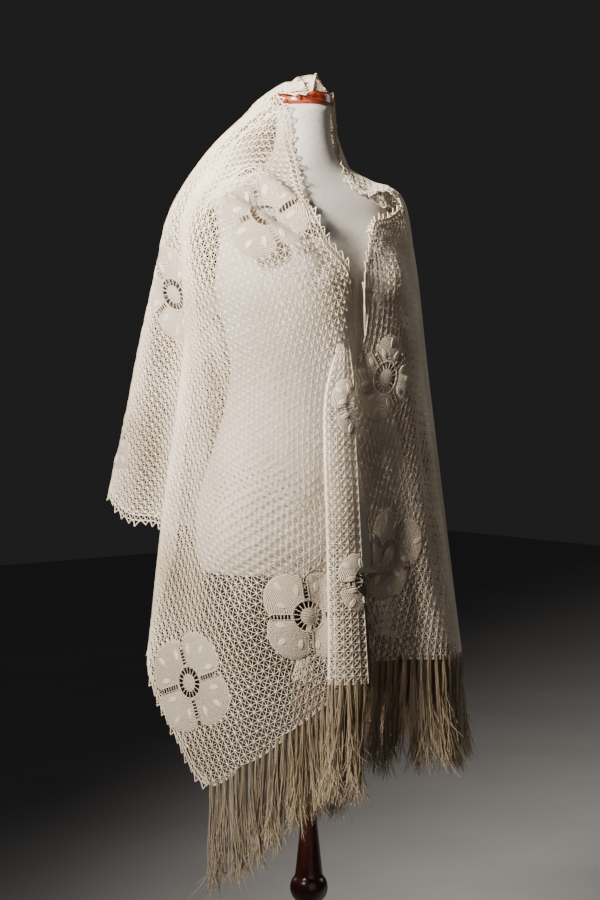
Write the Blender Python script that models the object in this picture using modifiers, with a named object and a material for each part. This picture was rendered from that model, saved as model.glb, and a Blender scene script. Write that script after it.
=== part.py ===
"""A crocheted lace shawl draped over a dress form on a turned wooden stand.

Metres, +Z up, origin on the floor under the stand's pole. The form faces -Y.
The sizes in the tables are millimetres. The shawl's tables use two axes turned about the pole:
"across" runs to the viewer's right and "out" towards a viewer at the form's right front corner.
"""

import math

import bmesh
import bpy
import numpy as np
from mathutils import Vector
from mathutils.bvhtree import BVHTree

MM = 0.001
TURN = math.radians(40)
WALL = 1.6
SEAM = 0.3
CLEAR = 2.7

# The dress form's level rings
FORM_RINGS = [
    # height, half_width, front_depth, back_depth, set_back
    (860, 170, 124, 126, 0),
    (885, 177, 129, 133, 0),
    (945, 176, 127, 136, 0),
    (1035, 150, 112, 116, 0),
    (1100, 131, 101, 98, 0),
    (1145, 126, 98, 91, 0),
    (1200, 136, 103, 94, 0),
    (1260, 153, 104, 101, 0),
    (1300, 148, 97, 104, 0),
    (1332, 142, 88, 102, 1),
    (1362, 150, 78, 95, 3),
    (1386, 163, 67, 83, 5),
    (1402, 154, 57, 70, 7),
    (1418, 114, 49, 59, 9),
    (1431, 77, 44, 51, 10),
    (1450, 52, 41, 44, 11),
    (1474, 42, 39, 40, 12),
    (1523, 38.5, 38.5, 38.5, 12),
]
FORM_SIDES = 28
CHECKED = [(a / 4, b / 4) for a in range(5) for b in range(5)]
BUST = {"apart": 72, "height": 1272, "spread": 36, "tall": 44, "depth": 26}

# Turned pieces as radius and height from the bottom up
CAP_PROFILE = [(0, 1523.3), (38, 1523.3), (40, 1525), (40.5, 1532), (39.5, 1539), (36.5, 1542), (0, 1542)]
POLE_PROFILE = [
    (0, 46.3), (26, 46.3), (28, 52), (28, 60), (22, 68), (19.5, 80), (19.5, 360), (21, 368),
    (25, 374), (27.5, 382), (27.5, 390), (25, 398), (21, 404), (19.5, 412), (19.5, 859.7), (0, 859.7),
]
BASE_PROFILE = [(0, 0), (184, 0), (188, 4), (188, 14), (180, 24), (150, 32), (90, 38), (60, 46), (0, 46)]
CAP_SET_BACK = 12
TURNED_SIDES = 28

# Guides of the shawl, from the front opening over the right side and the back to the left front
# Each gives the inner edge, the point where the cloth starts to hang, and the hem
GUIDES = [
    # name, edge (across, out, height), hang (across, out, height), hem (across, out, height), rise, draw, waist_in, hip_in
    ("front_edge", (62, 99, 1243), (56, 126, 1124), (52, 128, 699), 0, 0, 0, 0),
    ("front_inner", (52, 114, 1293), (35, 140, 1160), (15, 136, 674), 4, 0, 4, 0),
    ("front_mid", (21, 121, 1329), (-10, 154, 1222), (-34, 152, 635), 6, 0, 5, 0),
    ("front_outer", (-3, 103, 1372), (-65, 150, 1295), (-87, 150, 596), 8, 0, 5, 0),
    ("front_side", (-14, 72, 1411), (-115, 132, 1351), (-142, 124, 563), 12, 0, 4, 0),
    ("fold_front", (-20, 50, 1440), (-142, 112, 1371), (-187, 92, 625), 18, 0, 4, 0),
    ("fold_crest", (-26, 38, 1462), (-156, 92, 1377), (-230, 54, 722), 22, 0, 5, 0),
    ("fold_back", (-29, 36, 1476), (-161, 76, 1379), (-214, -2, 812), 24, 0, 8, 0),
    ("valley", (-30, 36, 1488), (-165, 58, 1382), (-198, -48, 892), 26, 0, 10, 4),
    ("sleeve_inner", (-32, 36, 1498), (-171, 34, 1384), (-226, -88, 914), 30, 0, 4, 0),
    ("sleeve_crest", (-33, 36, 1508), (-194, 4, 1381), (-273, -118, 918), 30, 0, -5, -5),
    ("sleeve_edge", (-35, 32, 1518), (-196, -34, 1380), (-304, -156, 950), 37, 0, -9, -8),
    ("back_outer", (-40, 26, 1529), (-176, -88, 1368), (-290, -226, 930), 50, 0, -7, -5),
    ("back_fold", (-46, 18, 1539), (-132, -118, 1376), (-238, -284, 905), 64, 0, 4, 4),
    ("back_valley", (-32, 33, 1536), (-98, -128, 1384), (-168, -244, 893), 82, 0, 14, 12),
    ("back_centre", (-15, 38, 1535), (-64, -134, 1390), (-106, -286, 872), 96, 0, 4, 0),
    ("back_furrow", (0, 37, 1538), (-32, -140, 1388), (-54, -240, 838), 106, 0, 14, 12),
    ("back_left", (9, 24, 1556), (4, -148, 1384), (-6, -282, 776), 100, 0, 4, 0),
    ("low_corner", (8, 2, 1566), (38, -156, 1378), (42, -264, 716), 80, -8, 10, 8),
    ("side_fold", (24, -20, 1547), (74, -160, 1374), (108, -266, 716), 56, -16, 2, 0),
    ("side_valley", (33, -30, 1538), (98, -160, 1370), (142, -212, 717), 34, -28, 10, 10),
    ("nape_left", (37, -28, 1505), (112, -154, 1366), (170, -210, 717), 20, -34, 2, 0),
    ("neck_left", (42, -22, 1464), (126, -150, 1360), (196, -190, 717), 14, -34, 0, 0),
    ("neck_root", (61, 12, 1405), (138, -142, 1352), (212, -156, 718), 36, -4, 0, 0),
    ("shoulder_back", (85, 6, 1395), (148, -126, 1344), (221, -120, 720), 42, 0, 0, 0),
    ("roll_top", (112, -20, 1402), (152, -102, 1334), (226, -88, 721), 34, 0, 0, 0),
    ("roll_tip", (133, -34, 1385), (150, -66, 1322), (226, -60, 722), 14, 0, 0, 0),
    ("roll_under", (116, -4, 1365), (144, -26, 1290), (224, -34, 723), 4, 0, 0, 0),
    ("left_crest", (92, 44, 1354), (139, 6, 1258), (218, -4, 725), 0, 0, 0, 0),
    ("left_upper", (86, 72, 1329), (122, 50, 1244), (200, 26, 727), 0, 0, 2, 2),
    ("left_mid", (80, 90, 1297), (108, 70, 1215), (168, 46, 730), 0, 0, 4, 4),
    ("left_inner", (76, 98, 1257), (90, 84, 1180), (126, 54, 731), 0, 0, 2, 4),
    ("left_edge", (83, 89, 1178), (52, 104, 1130), (88, 72, 728), 0, 6, 0, 0),
]
GUIDE_NAMES = [row[0] for row in GUIDES]

# The stretches of the shawl: which guides and which part of the way from the inner edge to the hem
STRETCHES = [
    # name, first_guide, last_guide, from_share, to_share
    ("right_front", "front_edge", "valley", 0.0, 1.0),
    ("right_sleeve", "valley", "back_outer", 0.3, 1.0),
    ("back", "back_outer", "low_corner", 0.3, 1.0),
    ("left_side", "low_corner", "shoulder_back", 0.3, 1.0),
    ("left_flank", "shoulder_back", "left_crest", 0.16, 1.0),
    ("left_front", "left_crest", "left_edge", 0.0, 1.0),
    ("hood", "valley", "shoulder_back", 0.0, 0.3),
    ("shoulder_roll", "shoulder_back", "left_crest", 0.0, 0.16),
]
ROW_SHARES = [0, 0.04, 0.08, 0.12, 0.16, 0.2, 0.25, 0.3, 0.37, 0.44, 0.52, 0.6, 0.68, 0.76, 0.84, 0.92, 1]
COLUMNS_PER_GUIDE = 2
FINE_ACROSS = 6
FINE_DOWN = 96

# Sections of the folded inner edge and of the pleat behind it, from the top down
FRONT_FOLD = [
    # height, right_edge, left_fold, front_out, back_out, right_back
    (1182, 60, 46, 146, 141, 6),
    (1120, 60, 24, 157, 145, 14),
    (1040, 63, 21, 161, 146, 18),
    (950, 68, 24, 162, 145, 18),
    (850, 73, 26, 162, 144, 18),
    (780, 77, 27, 162, 143, 18),
    (712, 81, 27, 163, 142, 18),
]
INNER_PLEAT = [
    # height, left, left_out
    (848, 22, 84),
    (800, 4, 74),
    (745, -12, 66),
    (704, -24, 60),
]
PLEAT_SEAT = 2.0

# Worked flowers on the shawl
FLOWERS = [
    # name, guide, share, turn, reach, gap
    ("flower_shoulder", 3.5, 0.084, 20, 52, 1.6),
    ("flower_sleeve", 9.3, 0.485, 10, 50, 1.6),
    ("flower_sleeve_low", 11.2, 0.87, 0, 46, 2.0),
    ("flower_corner", 4.64, 0.885, 30, 60, 2.0),
    ("flower_front_low", 1.45, 0.775, 30, 56, 1.6),
    ("flower_left_up", 30.4, 0.268, 0, 54, 2.6),
    ("flower_left_low", 31.2, 0.7, 0, 50, 2.6),
    ("flower_back", 12.9, 0.55, 20, 56, 1.9),
    ("flower_side", 22.6, 0.62, 0, 54, 3.0),
]
FLOWER_SECTORS = 24
FLOWER_RINGS = (13, 21, 36)
FLOWER_RAISED = (0, 0, 2.4)
FLOWER_WALL = 1.5
FLOWER_OPENING = 23

# The fringes' locks, knotted into a strip under the hem
STRIP_GAP = 0.6
STRIP_TALL = 3.5
STRIP_THICK = 2.0
STRIP_END = 3.0
LOCK_EVERY = 11.5
LOCK_WIDTH = 6.5
LOCK_RINGS = [
    # share of the way down, width, thickness
    (0.12, 5.0, 3.6),
    (0.6, 5.4, 4.4),
    (1.0, 2.6, 1.6),
]
FRINGES = [
    # name, first_guide, last_guide, length
    ("fringe_right_front", "front_edge", "front_side", 150),
    ("fringe_left_side", "low_corner", "shoulder_back", 165),
    ("fringe_left_front", "shoulder_back", "left_edge", 165),
]

MATERIALS = {
    "lace": (0.72, 0.66, 0.56),
    "fringe": (0.45, 0.38, 0.28),
    "linen": (0.74, 0.72, 0.69),
    "cherry": (0.36, 0.07, 0.03),
    "mahogany": (0.06, 0.015, 0.01),
}


def remove_startup_objects():
    for obj in list(bpy.data.objects):
        bpy.data.objects.remove(obj)


def collection(name, hidden=False):
    made = bpy.data.collections.new(name)
    bpy.context.scene.collection.children.link(made)
    made.hide_render = hidden
    return made


def material(name, slot):
    made = bpy.data.materials.new(name)
    made.use_nodes = True
    shader = made.node_tree.nodes["Principled BSDF"]
    shader.inputs["Base Color"].default_value = (*MATERIALS[slot], 1)
    shader.inputs["Roughness"].default_value = 0.35 if slot in ("cherry", "mahogany") else 0.9
    return made


def world(points):
    """Across, out and height in millimetres to X, Y and Z in millimetres."""
    points = np.asarray(points, float)
    across, out, height = points[..., 0], points[..., 1], points[..., 2]
    x = across * math.cos(TURN) - out * math.sin(TURN)
    y = -across * math.sin(TURN) - out * math.cos(TURN)
    return np.stack([x, y, height], axis=-1)


def add_object(name, verts, faces, slot, where, smooth=True):
    mesh = bpy.data.meshes.new(name)
    mesh.from_pydata([tuple(np.asarray(v) * MM) for v in verts], [], faces)
    mesh.update()
    bm = bmesh.new()
    bm.from_mesh(mesh)
    bmesh.ops.recalc_face_normals(bm, faces=bm.faces)
    bm.to_mesh(mesh)
    bm.free()
    if smooth:
        mesh.shade_smooth()
    mesh.materials.append(material(name, slot))
    obj = bpy.data.objects.new(name, mesh)
    where.objects.link(obj)
    return obj


def spread(values, parts):
    """Rows of points run through smoothly, with this many steps between each pair."""
    gaps = np.linalg.norm(np.diff(values, axis=0), axis=-1, keepdims=True) + 1e-6
    slopes = np.diff(values, axis=0) / gaps
    ends = (slopes[:-1] * gaps[1:] + slopes[1:] * gaps[:-1]) / (gaps[:-1] + gaps[1:])
    ends = np.concatenate([slopes[:1], ends, slopes[-1:]])
    rows = []
    for step in range(parts):
        t = step / parts
        rows.append(
            (2 * t**3 - 3 * t**2 + 1) * values[:-1]
            + (t**3 - 2 * t**2 + t) * gaps * ends[:-1]
            + (-2 * t**3 + 3 * t**2) * values[1:]
            + (t**3 - t**2) * gaps * ends[1:]
        )
    mixed = np.stack(rows, axis=1).reshape(-1, *values.shape[1:])
    return np.concatenate([mixed, values[-1:]])


def evenly(line, count):
    """The points of a line at equal steps of its length."""
    steps = np.linalg.norm(np.diff(line, axis=0), axis=1)
    way = np.concatenate([[0], np.cumsum(steps)])
    wanted = np.linspace(0, way[-1], count + 1)
    return np.stack([np.interp(wanted, way, line[:, k]) for k in range(3)], axis=1)


def guide_line(row):
    """One guide from the inner edge to the hem."""
    _, edge, hang, hem, rise, draw, waist_in, hip_in = row
    edge, hang, hem = (np.array(p, float) for p in (edge, hang, hem))
    slope = (edge + hang) / 2 + np.array([draw, 0, rise])
    line = [edge, slope, hang]
    for share, inward in ((0.33, waist_in), (0.68, hip_in)):
        point = hang + (hem - hang) * share
        middle = point[:2] / np.linalg.norm(point[:2])
        point[:2] -= middle * inward
        line.append(point)
    line.append(hem)
    return evenly(spread(np.array(line), 12), FINE_DOWN)


def form_points():
    """The form's rings as points in X, Y and height."""
    angles = np.linspace(0, 2 * math.pi, FORM_SIDES, endpoint=False)
    points = []
    for height, half_width, front, back, set_back in FORM_RINGS:
        x = half_width * np.cos(angles)
        depth = np.where(np.sin(angles) < 0, front, back)
        y = depth * np.sin(angles) + set_back
        for side in (-1, 1):
            near = ((x - side * BUST["apart"]) / BUST["spread"]) ** 2
            tall = ((height - BUST["height"]) / BUST["tall"]) ** 2
            bump = BUST["depth"] * np.exp(-(near + tall) / 2)
            y = np.where(np.sin(angles) < 0, y - bump * np.minimum(1, -3 * np.sin(angles)), y)
        points.append(np.stack([x, y, np.full_like(x, height)], axis=1))
    return np.array(points)


def ring_faces(rows, columns):
    faces = [
        (r * columns + c, r * columns + (c + 1) % columns, (r + 1) * columns + (c + 1) % columns, (r + 1) * columns + c)
        for r in range(rows - 1)
        for c in range(columns)
    ]
    faces.append(tuple(range(columns))[::-1])
    faces.append(tuple((rows - 1) * columns + c for c in range(columns)))
    return faces


def turned(name, profile, slot, where, shift_back=0):
    mesh = bpy.data.meshes.new(name)
    edges = [(i, i + 1) for i in range(len(profile) - 1)]
    mesh.from_pydata([(r * MM, 0, z * MM) for r, z in profile], edges, [])
    mesh.materials.append(material(name, slot))
    obj = bpy.data.objects.new(name, mesh)
    obj.location.y = shift_back * MM
    where.objects.link(obj)
    screw = obj.modifiers.new("Turned", "SCREW")
    screw.steps = TURNED_SIDES
    screw.render_steps = TURNED_SIDES
    screw.use_merge_vertices = True
    screw.merge_threshold = 0.00001
    screw.use_normal_calculate = True
    screw.use_smooth_shade = False
    return obj


def clearance_tree(form):
    """What the cloth must stay clear of: the form with its neck cap."""
    last = form[-1] - [0, CAP_SET_BACK, 0]
    rings = [form[:-1]]
    for radius, height in ((40.6, 1522), (40.6, 1539), (37, 1542.3)):
        ring = last / np.linalg.norm(last[:, :2], axis=1, keepdims=True) * radius
        ring[:, 2] = height
        rings.append((ring + [0, CAP_SET_BACK, 0])[None])
    rings = np.concatenate(rings)
    return BVHTree.FromPolygons([Vector(p) for p in rings.reshape(-1, 3)], ring_faces(len(rings), FORM_SIDES))


def kept_clear(points, tree):
    """Points that are nearer to the form than the cloth's gap moved out to it."""
    flat = points.reshape(-1, 3).copy()
    for i, p in enumerate(flat):
        where, normal, _, _ = tree.find_nearest(Vector(p), 90)
        if where is None:
            continue
        outside = (Vector(p) - where).dot(normal)
        if outside < CLEAR:
            flat[i] = where + normal * CLEAR
    return flat.reshape(points.shape)


def cape_surface(tree):
    """The whole shawl's middle surface as a fine grid in X, Y and height."""
    lines = np.array([guide_line(row) for row in GUIDES])
    surface = world(spread(lines, FINE_ACROSS))
    return kept_clear(surface, tree)


def clear_between(grid, tree):
    """A coarse grid moved out where the faces between its points come too near to the form."""
    grid = grid.copy()
    need = CLEAR
    for _ in range(24):
        push = np.zeros_like(grid)
        for i in range(grid.shape[0] - 1):
            for j in range(grid.shape[1] - 1):
                corners = grid[i : i + 2, j : j + 2]
                for a, b in CHECKED:
                    weights = np.outer((1 - a, a), (1 - b, b))[..., None]
                    point = Vector((corners * weights).sum(axis=(0, 1)))
                    where, away, _, _ = tree.find_nearest(point, 40)
                    if where is None or (point - where).dot(away) > need:
                        continue
                    move = np.array(away) * (need - (point - where).dot(away) + 0.3)
                    part = push[i : i + 2, j : j + 2]
                    longer = np.linalg.norm(move) > np.linalg.norm(part, axis=-1, keepdims=True)
                    part[...] = np.where(longer & (weights > 0), move, part)
        if not push.any():
            break
        grid += push
    return grid


def normals_of(grid):
    du = np.gradient(grid, axis=0)
    dv = np.gradient(grid, axis=1)
    normal = np.cross(dv, du)
    return normal / (np.linalg.norm(normal, axis=-1, keepdims=True) + 1e-12)


def look_up(grid, u, v):
    """The grid at places between its points."""
    u = np.clip(u, 0, grid.shape[0] - 1.0001)
    v = np.clip(v, 0, grid.shape[1] - 1.0001)
    i, j = u.astype(int), v.astype(int)
    a, b = (u - i)[..., None], (v - j)[..., None]
    return (
        grid[i, j] * (1 - a) * (1 - b)
        + grid[i + 1, j] * a * (1 - b)
        + grid[i, j + 1] * (1 - a) * b
        + grid[i + 1, j + 1] * a * b
    )


def thick_patch(name, outer, inner, faces, slot, where):
    """Faces over a set of points as a wall, its open edges closed by a rim."""
    count = len(outer)
    used = {}
    for face in faces:
        for a, b in zip(face, face[1:] + face[:1]):
            used[(a, b)] = True
    rim = [(b, a, a + count, b + count) for a, b in used if (b, a) not in used]
    under = [tuple(i + count for i in reversed(face)) for face in faces]
    return add_object(name, np.concatenate([outer, inner]), list(faces) + under + rim, slot, where)


def thick_sheet(name, middle, normal, wall, slot, where):
    """A grid of points as a wall, each cell split the same way."""
    rows, columns = middle.shape[:2]
    faces = []
    for r in range(rows - 1):
        for c in range(columns - 1):
            a, b, d, e = r * columns + c, r * columns + c + 1, (r + 1) * columns + c + 1, (r + 1) * columns + c
            faces.append((a, b, d))
            faces.append((a, d, e))
    outer = (middle + normal * wall / 2).reshape(-1, 3)
    inner = (middle - normal * wall / 2).reshape(-1, 3)
    return thick_patch(name, outer, inner, faces, slot, where)


def on_facets(grid, u, v):
    """Places on the flat facets that thick_sheet makes of a grid."""
    u = np.clip(u, 0, grid.shape[0] - 1.0001)
    v = np.clip(v, 0, grid.shape[1] - 1.0001)
    i, j = u.astype(int), v.astype(int)
    a, b = (u - i)[..., None], (v - j)[..., None]
    corner, far = grid[i, j], grid[i + 1, j + 1]
    by_row = corner + (grid[i, j + 1] - corner) * b + (far - grid[i, j + 1]) * a
    by_column = corner + (grid[i + 1, j] - corner) * a + (far - grid[i + 1, j]) * b
    return np.where(b > a, by_row, by_column)


def shawl_grid(surface, tree):
    """The coarser grid that all the stretches are cut from, and its normals."""
    u = np.arange(len(GUIDES) * COLUMNS_PER_GUIDE - 1) / COLUMNS_PER_GUIDE * FINE_ACROSS
    v = np.array(ROW_SHARES) * FINE_DOWN
    uu, vv = np.meshgrid(u, v, indexing="ij")
    grid = clear_between(look_up(surface, uu, vv), tree)
    return grid, -normals_of(grid)


def add_stretches(grid, normal, where):
    """Each stretch as its own wall, its seams parted from its neighbours'."""
    for name, first, last, start, end in STRETCHES:
        left = GUIDE_NAMES.index(first) * COLUMNS_PER_GUIDE
        right = GUIDE_NAMES.index(last) * COLUMNS_PER_GUIDE
        top, bottom = ROW_SHARES.index(start), ROW_SHARES.index(end)
        middle = grid[left : right + 1, top : bottom + 1].copy()
        away = normal[left : right + 1, top : bottom + 1]
        inset = SEAM / 2 + 0.05
        for side, inside in ((0, 1), (-1, -2)):
            toward = middle[inside] - middle[side]
            middle[side] += toward / np.linalg.norm(toward, axis=-1, keepdims=True) * inset
            toward = middle[:, inside] - middle[:, side]
            middle[:, side] += toward / np.linalg.norm(toward, axis=-1, keepdims=True) * inset
        thick_sheet(name, middle, away, WALL, "lace", where)


def flower_points(grid, normal, guide, share, turn, reach):
    """A flower's places on the shawl's grid, ring by ring from its centre."""
    u0 = guide * COLUMNS_PER_GUIDE
    v0 = np.interp(share, ROW_SHARES, range(len(ROW_SHARES)))
    here = np.array([u0]), np.array([v0])
    step = 0.3
    along = (on_facets(grid, here[0] + step, here[1]) - on_facets(grid, here[0] - step, here[1]))[0] / (2 * step)
    down = (on_facets(grid, here[0], here[1] + step) - on_facets(grid, here[0], here[1] - step))[0] / (2 * step)
    e1 = down / np.linalg.norm(down)
    e2 = along - e1 * along.dot(e1)
    e2 /= np.linalg.norm(e2)
    to_grid = np.linalg.inv(np.array([[along.dot(e1), down.dot(e1)], [along.dot(e2), down.dot(e2)]]))
    angles = np.arange(FLOWER_SECTORS) / FLOWER_SECTORS * 2 * math.pi
    places = [np.zeros((1, 2))]
    for k, radius in enumerate([*FLOWER_RINGS, reach]):
        lobes = 1 + 0.07 * np.cos(4 * angles) * (k == len(FLOWER_RINGS))
        turned_by = angles + math.radians(turn)
        places.append(np.stack([np.cos(turned_by), np.sin(turned_by)], axis=1) * (radius * lobes)[:, None])
    places = np.concatenate(places) @ to_grid.T
    u, v = u0 + places[:, 0], v0 + places[:, 1]
    away = on_facets(normal, u, v)
    away /= np.linalg.norm(away, axis=1, keepdims=True)
    return on_facets(grid + normal * WALL / 2, u, v), away


def add_flower(row, grid, normal, parts, cutters):
    """A worked flower on the shawl, with its open ring, and the opening in the cloth under it."""
    name, guide, share, turn, reach, gap = row
    under, away = flower_points(grid, normal, guide, share, turn, reach)
    n = FLOWER_SECTORS
    faces = [(0, 1 + k, 1 + (k + 1) % n) for k in range(n)]
    for ring in range(len(FLOWER_RINGS)):
        for k in range(n):
            if ring == 0 and k % 2:
                continue
            a, b = 1 + ring * n + k, 1 + ring * n + (k + 1) % n
            faces += [(a, a + n, b + n), (a, b + n, b)]
    raised = np.zeros(len(under))
    for ring, height in enumerate(FLOWER_RAISED):
        raised[1 + ring * n : 1 + (ring + 1) * n : 3] = height
    inner = under + away * gap
    outer = inner + away * (FLOWER_WALL + raised)[:, None]
    thick_patch(name, outer, inner, faces, "lace", parts)
    centre, axis = under[0], Vector(away[0])
    bpy.ops.mesh.primitive_cylinder_add(vertices=24, radius=FLOWER_OPENING * MM, depth=24 * MM)
    cutter = bpy.context.object
    cutter.name = name + "_cutter"
    cutter.rotation_mode = "QUATERNION"
    cutter.rotation_quaternion = axis.to_track_quat("Z", "Y")
    cutter.location = Vector(centre) * MM
    cutter.display_type = "WIRE"
    cutter.hide_render = True
    for home in list(cutter.users_collection):
        home.objects.unlink(cutter)
    cutters.objects.link(cutter)
    for stretch, first, last, start, end in STRETCHES:
        left, right = GUIDE_NAMES.index(first), GUIDE_NAMES.index(last)
        if left - 0.8 <= guide <= right + 0.8 and start - 0.03 <= share <= end + 0.03:
            cut = bpy.data.objects[stretch].modifiers.new(name, "BOOLEAN")
            cut.object = cutter
            cut.operation = "DIFFERENCE"
            cut.solver = "EXACT"


def add_fringe(name, hem, down, normal, length, where):
    """A narrow strip just below a hem, with the locks that hang from it."""
    steps = np.linalg.norm(np.diff(hem, axis=0), axis=1)
    way = np.concatenate([[0], np.cumsum(steps)])
    room = way[-1] - LOCK_WIDTH - 2 * STRIP_END
    count = int(room / LOCK_EVERY) + 1
    starts = STRIP_END + np.arange(count) * room / (count - 1)
    at = np.sort(np.concatenate([starts, starts + LOCK_WIDTH]))
    sample = lambda values: np.stack([np.interp(at, way, values[:, k]) for k in range(3)], axis=1)
    hem, down, normal = sample(hem), sample(down), sample(normal)
    down /= np.linalg.norm(down, axis=1, keepdims=True)
    normal /= np.linalg.norm(normal, axis=1, keepdims=True)
    top, low = hem + down * STRIP_GAP, hem + down * (STRIP_GAP + STRIP_TALL)
    half = normal * STRIP_THICK / 2
    verts = [list(p) for p in np.stack([top + half, top - half, low - half, low + half], axis=1).reshape(-1, 3)]
    faces = [(0, 1, 2, 3), tuple(len(verts) - 4 + k for k in (3, 2, 1, 0))]
    for k in range(len(at) - 1):
        a, b = 4 * k, 4 * k + 4
        faces += [(a, a + 3, b + 3, b), (a + 1, a, b, b + 1), (a + 2, a + 1, b + 1, b + 2)]
        bottom = (a + 3, a + 2, b + 2, b + 3)
        if k % 2:
            faces.append(bottom[::-1])
            continue
        lock = k // 2
        side = low[k + 1] - low[k]
        side[2] = 0
        side /= np.linalg.norm(side)
        face_out = np.cross(side, [0, 0, 1.0])
        if face_out.dot(normal[k]) < 0:
            face_out = -face_out
        middle = (low[k] + low[k + 1]) / 2
        long = length * (1 + 0.09 * math.sin(2.3 * lock) + 0.05 * math.sin(5.1 * lock + 1))
        ring = list(bottom)
        for share, wide, thick in LOCK_RINGS:
            sway = 7 * share**2 * math.sin(0.37 * lock)
            sway_out = 5 * share**2 * math.sin(0.53 * lock + 1)
            centre = middle + side * sway + face_out * sway_out
            centre[2] -= long * share
            w, t = side * wide / 2, face_out * thick / 2
            new = [centre - w + t, centre - w - t, centre + w - t, centre + w + t]
            first = len(verts)
            verts += [list(p) for p in new]
            fresh = [first + i for i in range(4)]
            for i in range(4):
                j = (i + 1) % 4
                faces.append((ring[j], ring[i], fresh[i], fresh[j]))
            ring = fresh
        faces.append(tuple(ring[::-1]))
    return add_object(name, np.array(verts), faces, "fringe", where, smooth=False)


def fold_grid(rows=16, columns=11):
    """The folded inner edge: its front layer, the fold at its left and its back layer."""
    table = spread(np.array(FRONT_FOLD, float)[:, None, :], 4)[:, 0]
    wanted = np.linspace(0, len(table) - 1, rows)
    table = np.stack([np.interp(wanted, range(len(table)), table[:, k]) for k in range(6)], axis=1)
    grid = []
    for height, right, left, front, back, right_back in table:
        radius = (front - back) / 2
        line = []
        for c in range(columns):
            share = c / (columns - 1)
            if share < 0.42:
                t = share / 0.42
                line.append((right + (left + radius - right) * t, front + 3 * math.sin(math.pi * t), height))
            elif share < 0.64:
                angle = (share - 0.42) / 0.22 * math.pi
                line.append((left + radius - radius * math.sin(angle), back + radius + radius * math.cos(angle), height))
            else:
                t = (share - 0.64) / 0.36
                line.append((left + radius + (right - 10 - left - radius) * t, back, height))
        line = np.array(line)
        line[:, 1] -= right_back * ((line[:, 0] - left) / (right - left)) ** 1.5
        grid.append(line)
    return world(np.array(grid))


def pleat_grid(edge, away, rows=6, columns=7):
    """The pleat that runs back from just inside the right front's edge."""
    table = np.array(INNER_PLEAT, float)
    wanted = np.linspace(0, len(table) - 1, rows)
    table = np.stack([np.interp(wanted, range(len(table)), table[:, k]) for k in range(3)], axis=1)
    seat = edge - away * PLEAT_SEAT
    grid = []
    for height, left, left_out in table:
        start = np.array([np.interp(-height, -seat[:, 2], seat[:, k]) for k in range(3)])
        end = world((left, left_out, height))
        across = (end - start) / np.linalg.norm(end - start)
        bow = np.cross(across, [0, 0, 1.0])
        t = np.linspace(0, 1, columns)[:, None]
        grid.append(start + (end - start) * t + bow * 7 * np.sin(2 * math.pi * t) * t)
    return np.array(grid)


def build():
    remove_startup_objects()
    parts = collection("lace_shawl_on_dress_form")
    cutters = collection("cutters", hidden=True)
    form = form_points()
    faces = ring_faces(len(form), FORM_SIDES)
    add_object("dress_form", form.reshape(-1, 3), faces, "linen", parts)
    turned("neck_cap", CAP_PROFILE, "cherry", parts, CAP_SET_BACK)
    turned("stand_pole", POLE_PROFILE, "mahogany", parts)
    turned("stand_base", BASE_PROFILE, "mahogany", parts)
    tree = clearance_tree(form)
    surface = cape_surface(tree)
    grid, normal = shawl_grid(surface, tree)
    add_stretches(grid, normal, parts)
    fold = fold_grid()
    fold_normal = normals_of(fold)
    thick_sheet("front_fold", fold, fold_normal, WALL, "lace", parts)
    pleat = pleat_grid(grid[0], normal[0])
    pleat_normal = normals_of(pleat)
    thick_sheet("inner_pleat", pleat, pleat_normal, WALL, "lace", parts)
    for row in FLOWERS:
        add_flower(row, grid, normal, parts, cutters)
    for name, first, last, length in FRINGES:
        left = GUIDE_NAMES.index(first) * COLUMNS_PER_GUIDE
        right = GUIDE_NAMES.index(last) * COLUMNS_PER_GUIDE
        hem = grid[left : right + 1, -1]
        down = hem - grid[left : right + 1, -2]
        add_fringe(name, hem, down, normal[left : right + 1, -1], length, parts)
    for name, sheet, sheet_normal, length in (
        ("fringe_front_fold", fold, fold_normal, 165),
        ("fringe_inner_pleat", pleat, pleat_normal, 190),
    ):
        add_fringe(name, sheet[-1], sheet[-1] - sheet[-2], sheet_normal[-1], length, parts)


build()
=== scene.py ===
"""Looks of the crocheted lace shawl on its dress form and stand. Metres, +Z up; the tables are in millimetres."""

import math

import bpy
import numpy as np
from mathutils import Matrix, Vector
from mathutils.bvhtree import BVHTree

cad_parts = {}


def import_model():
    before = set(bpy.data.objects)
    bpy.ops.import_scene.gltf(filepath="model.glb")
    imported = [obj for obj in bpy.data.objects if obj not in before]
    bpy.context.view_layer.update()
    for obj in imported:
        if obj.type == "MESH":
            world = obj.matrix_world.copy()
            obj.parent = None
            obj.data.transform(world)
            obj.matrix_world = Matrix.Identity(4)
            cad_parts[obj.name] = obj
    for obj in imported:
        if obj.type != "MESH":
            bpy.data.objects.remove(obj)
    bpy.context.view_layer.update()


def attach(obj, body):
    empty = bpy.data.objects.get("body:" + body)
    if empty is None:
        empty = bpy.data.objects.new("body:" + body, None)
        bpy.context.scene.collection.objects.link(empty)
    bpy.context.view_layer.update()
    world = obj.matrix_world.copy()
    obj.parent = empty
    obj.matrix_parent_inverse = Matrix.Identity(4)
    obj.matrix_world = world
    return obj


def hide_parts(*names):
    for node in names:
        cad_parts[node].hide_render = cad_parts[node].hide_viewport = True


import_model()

MM = 0.001
TURN = math.radians(40)
CLEAR = 2.9

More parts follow.
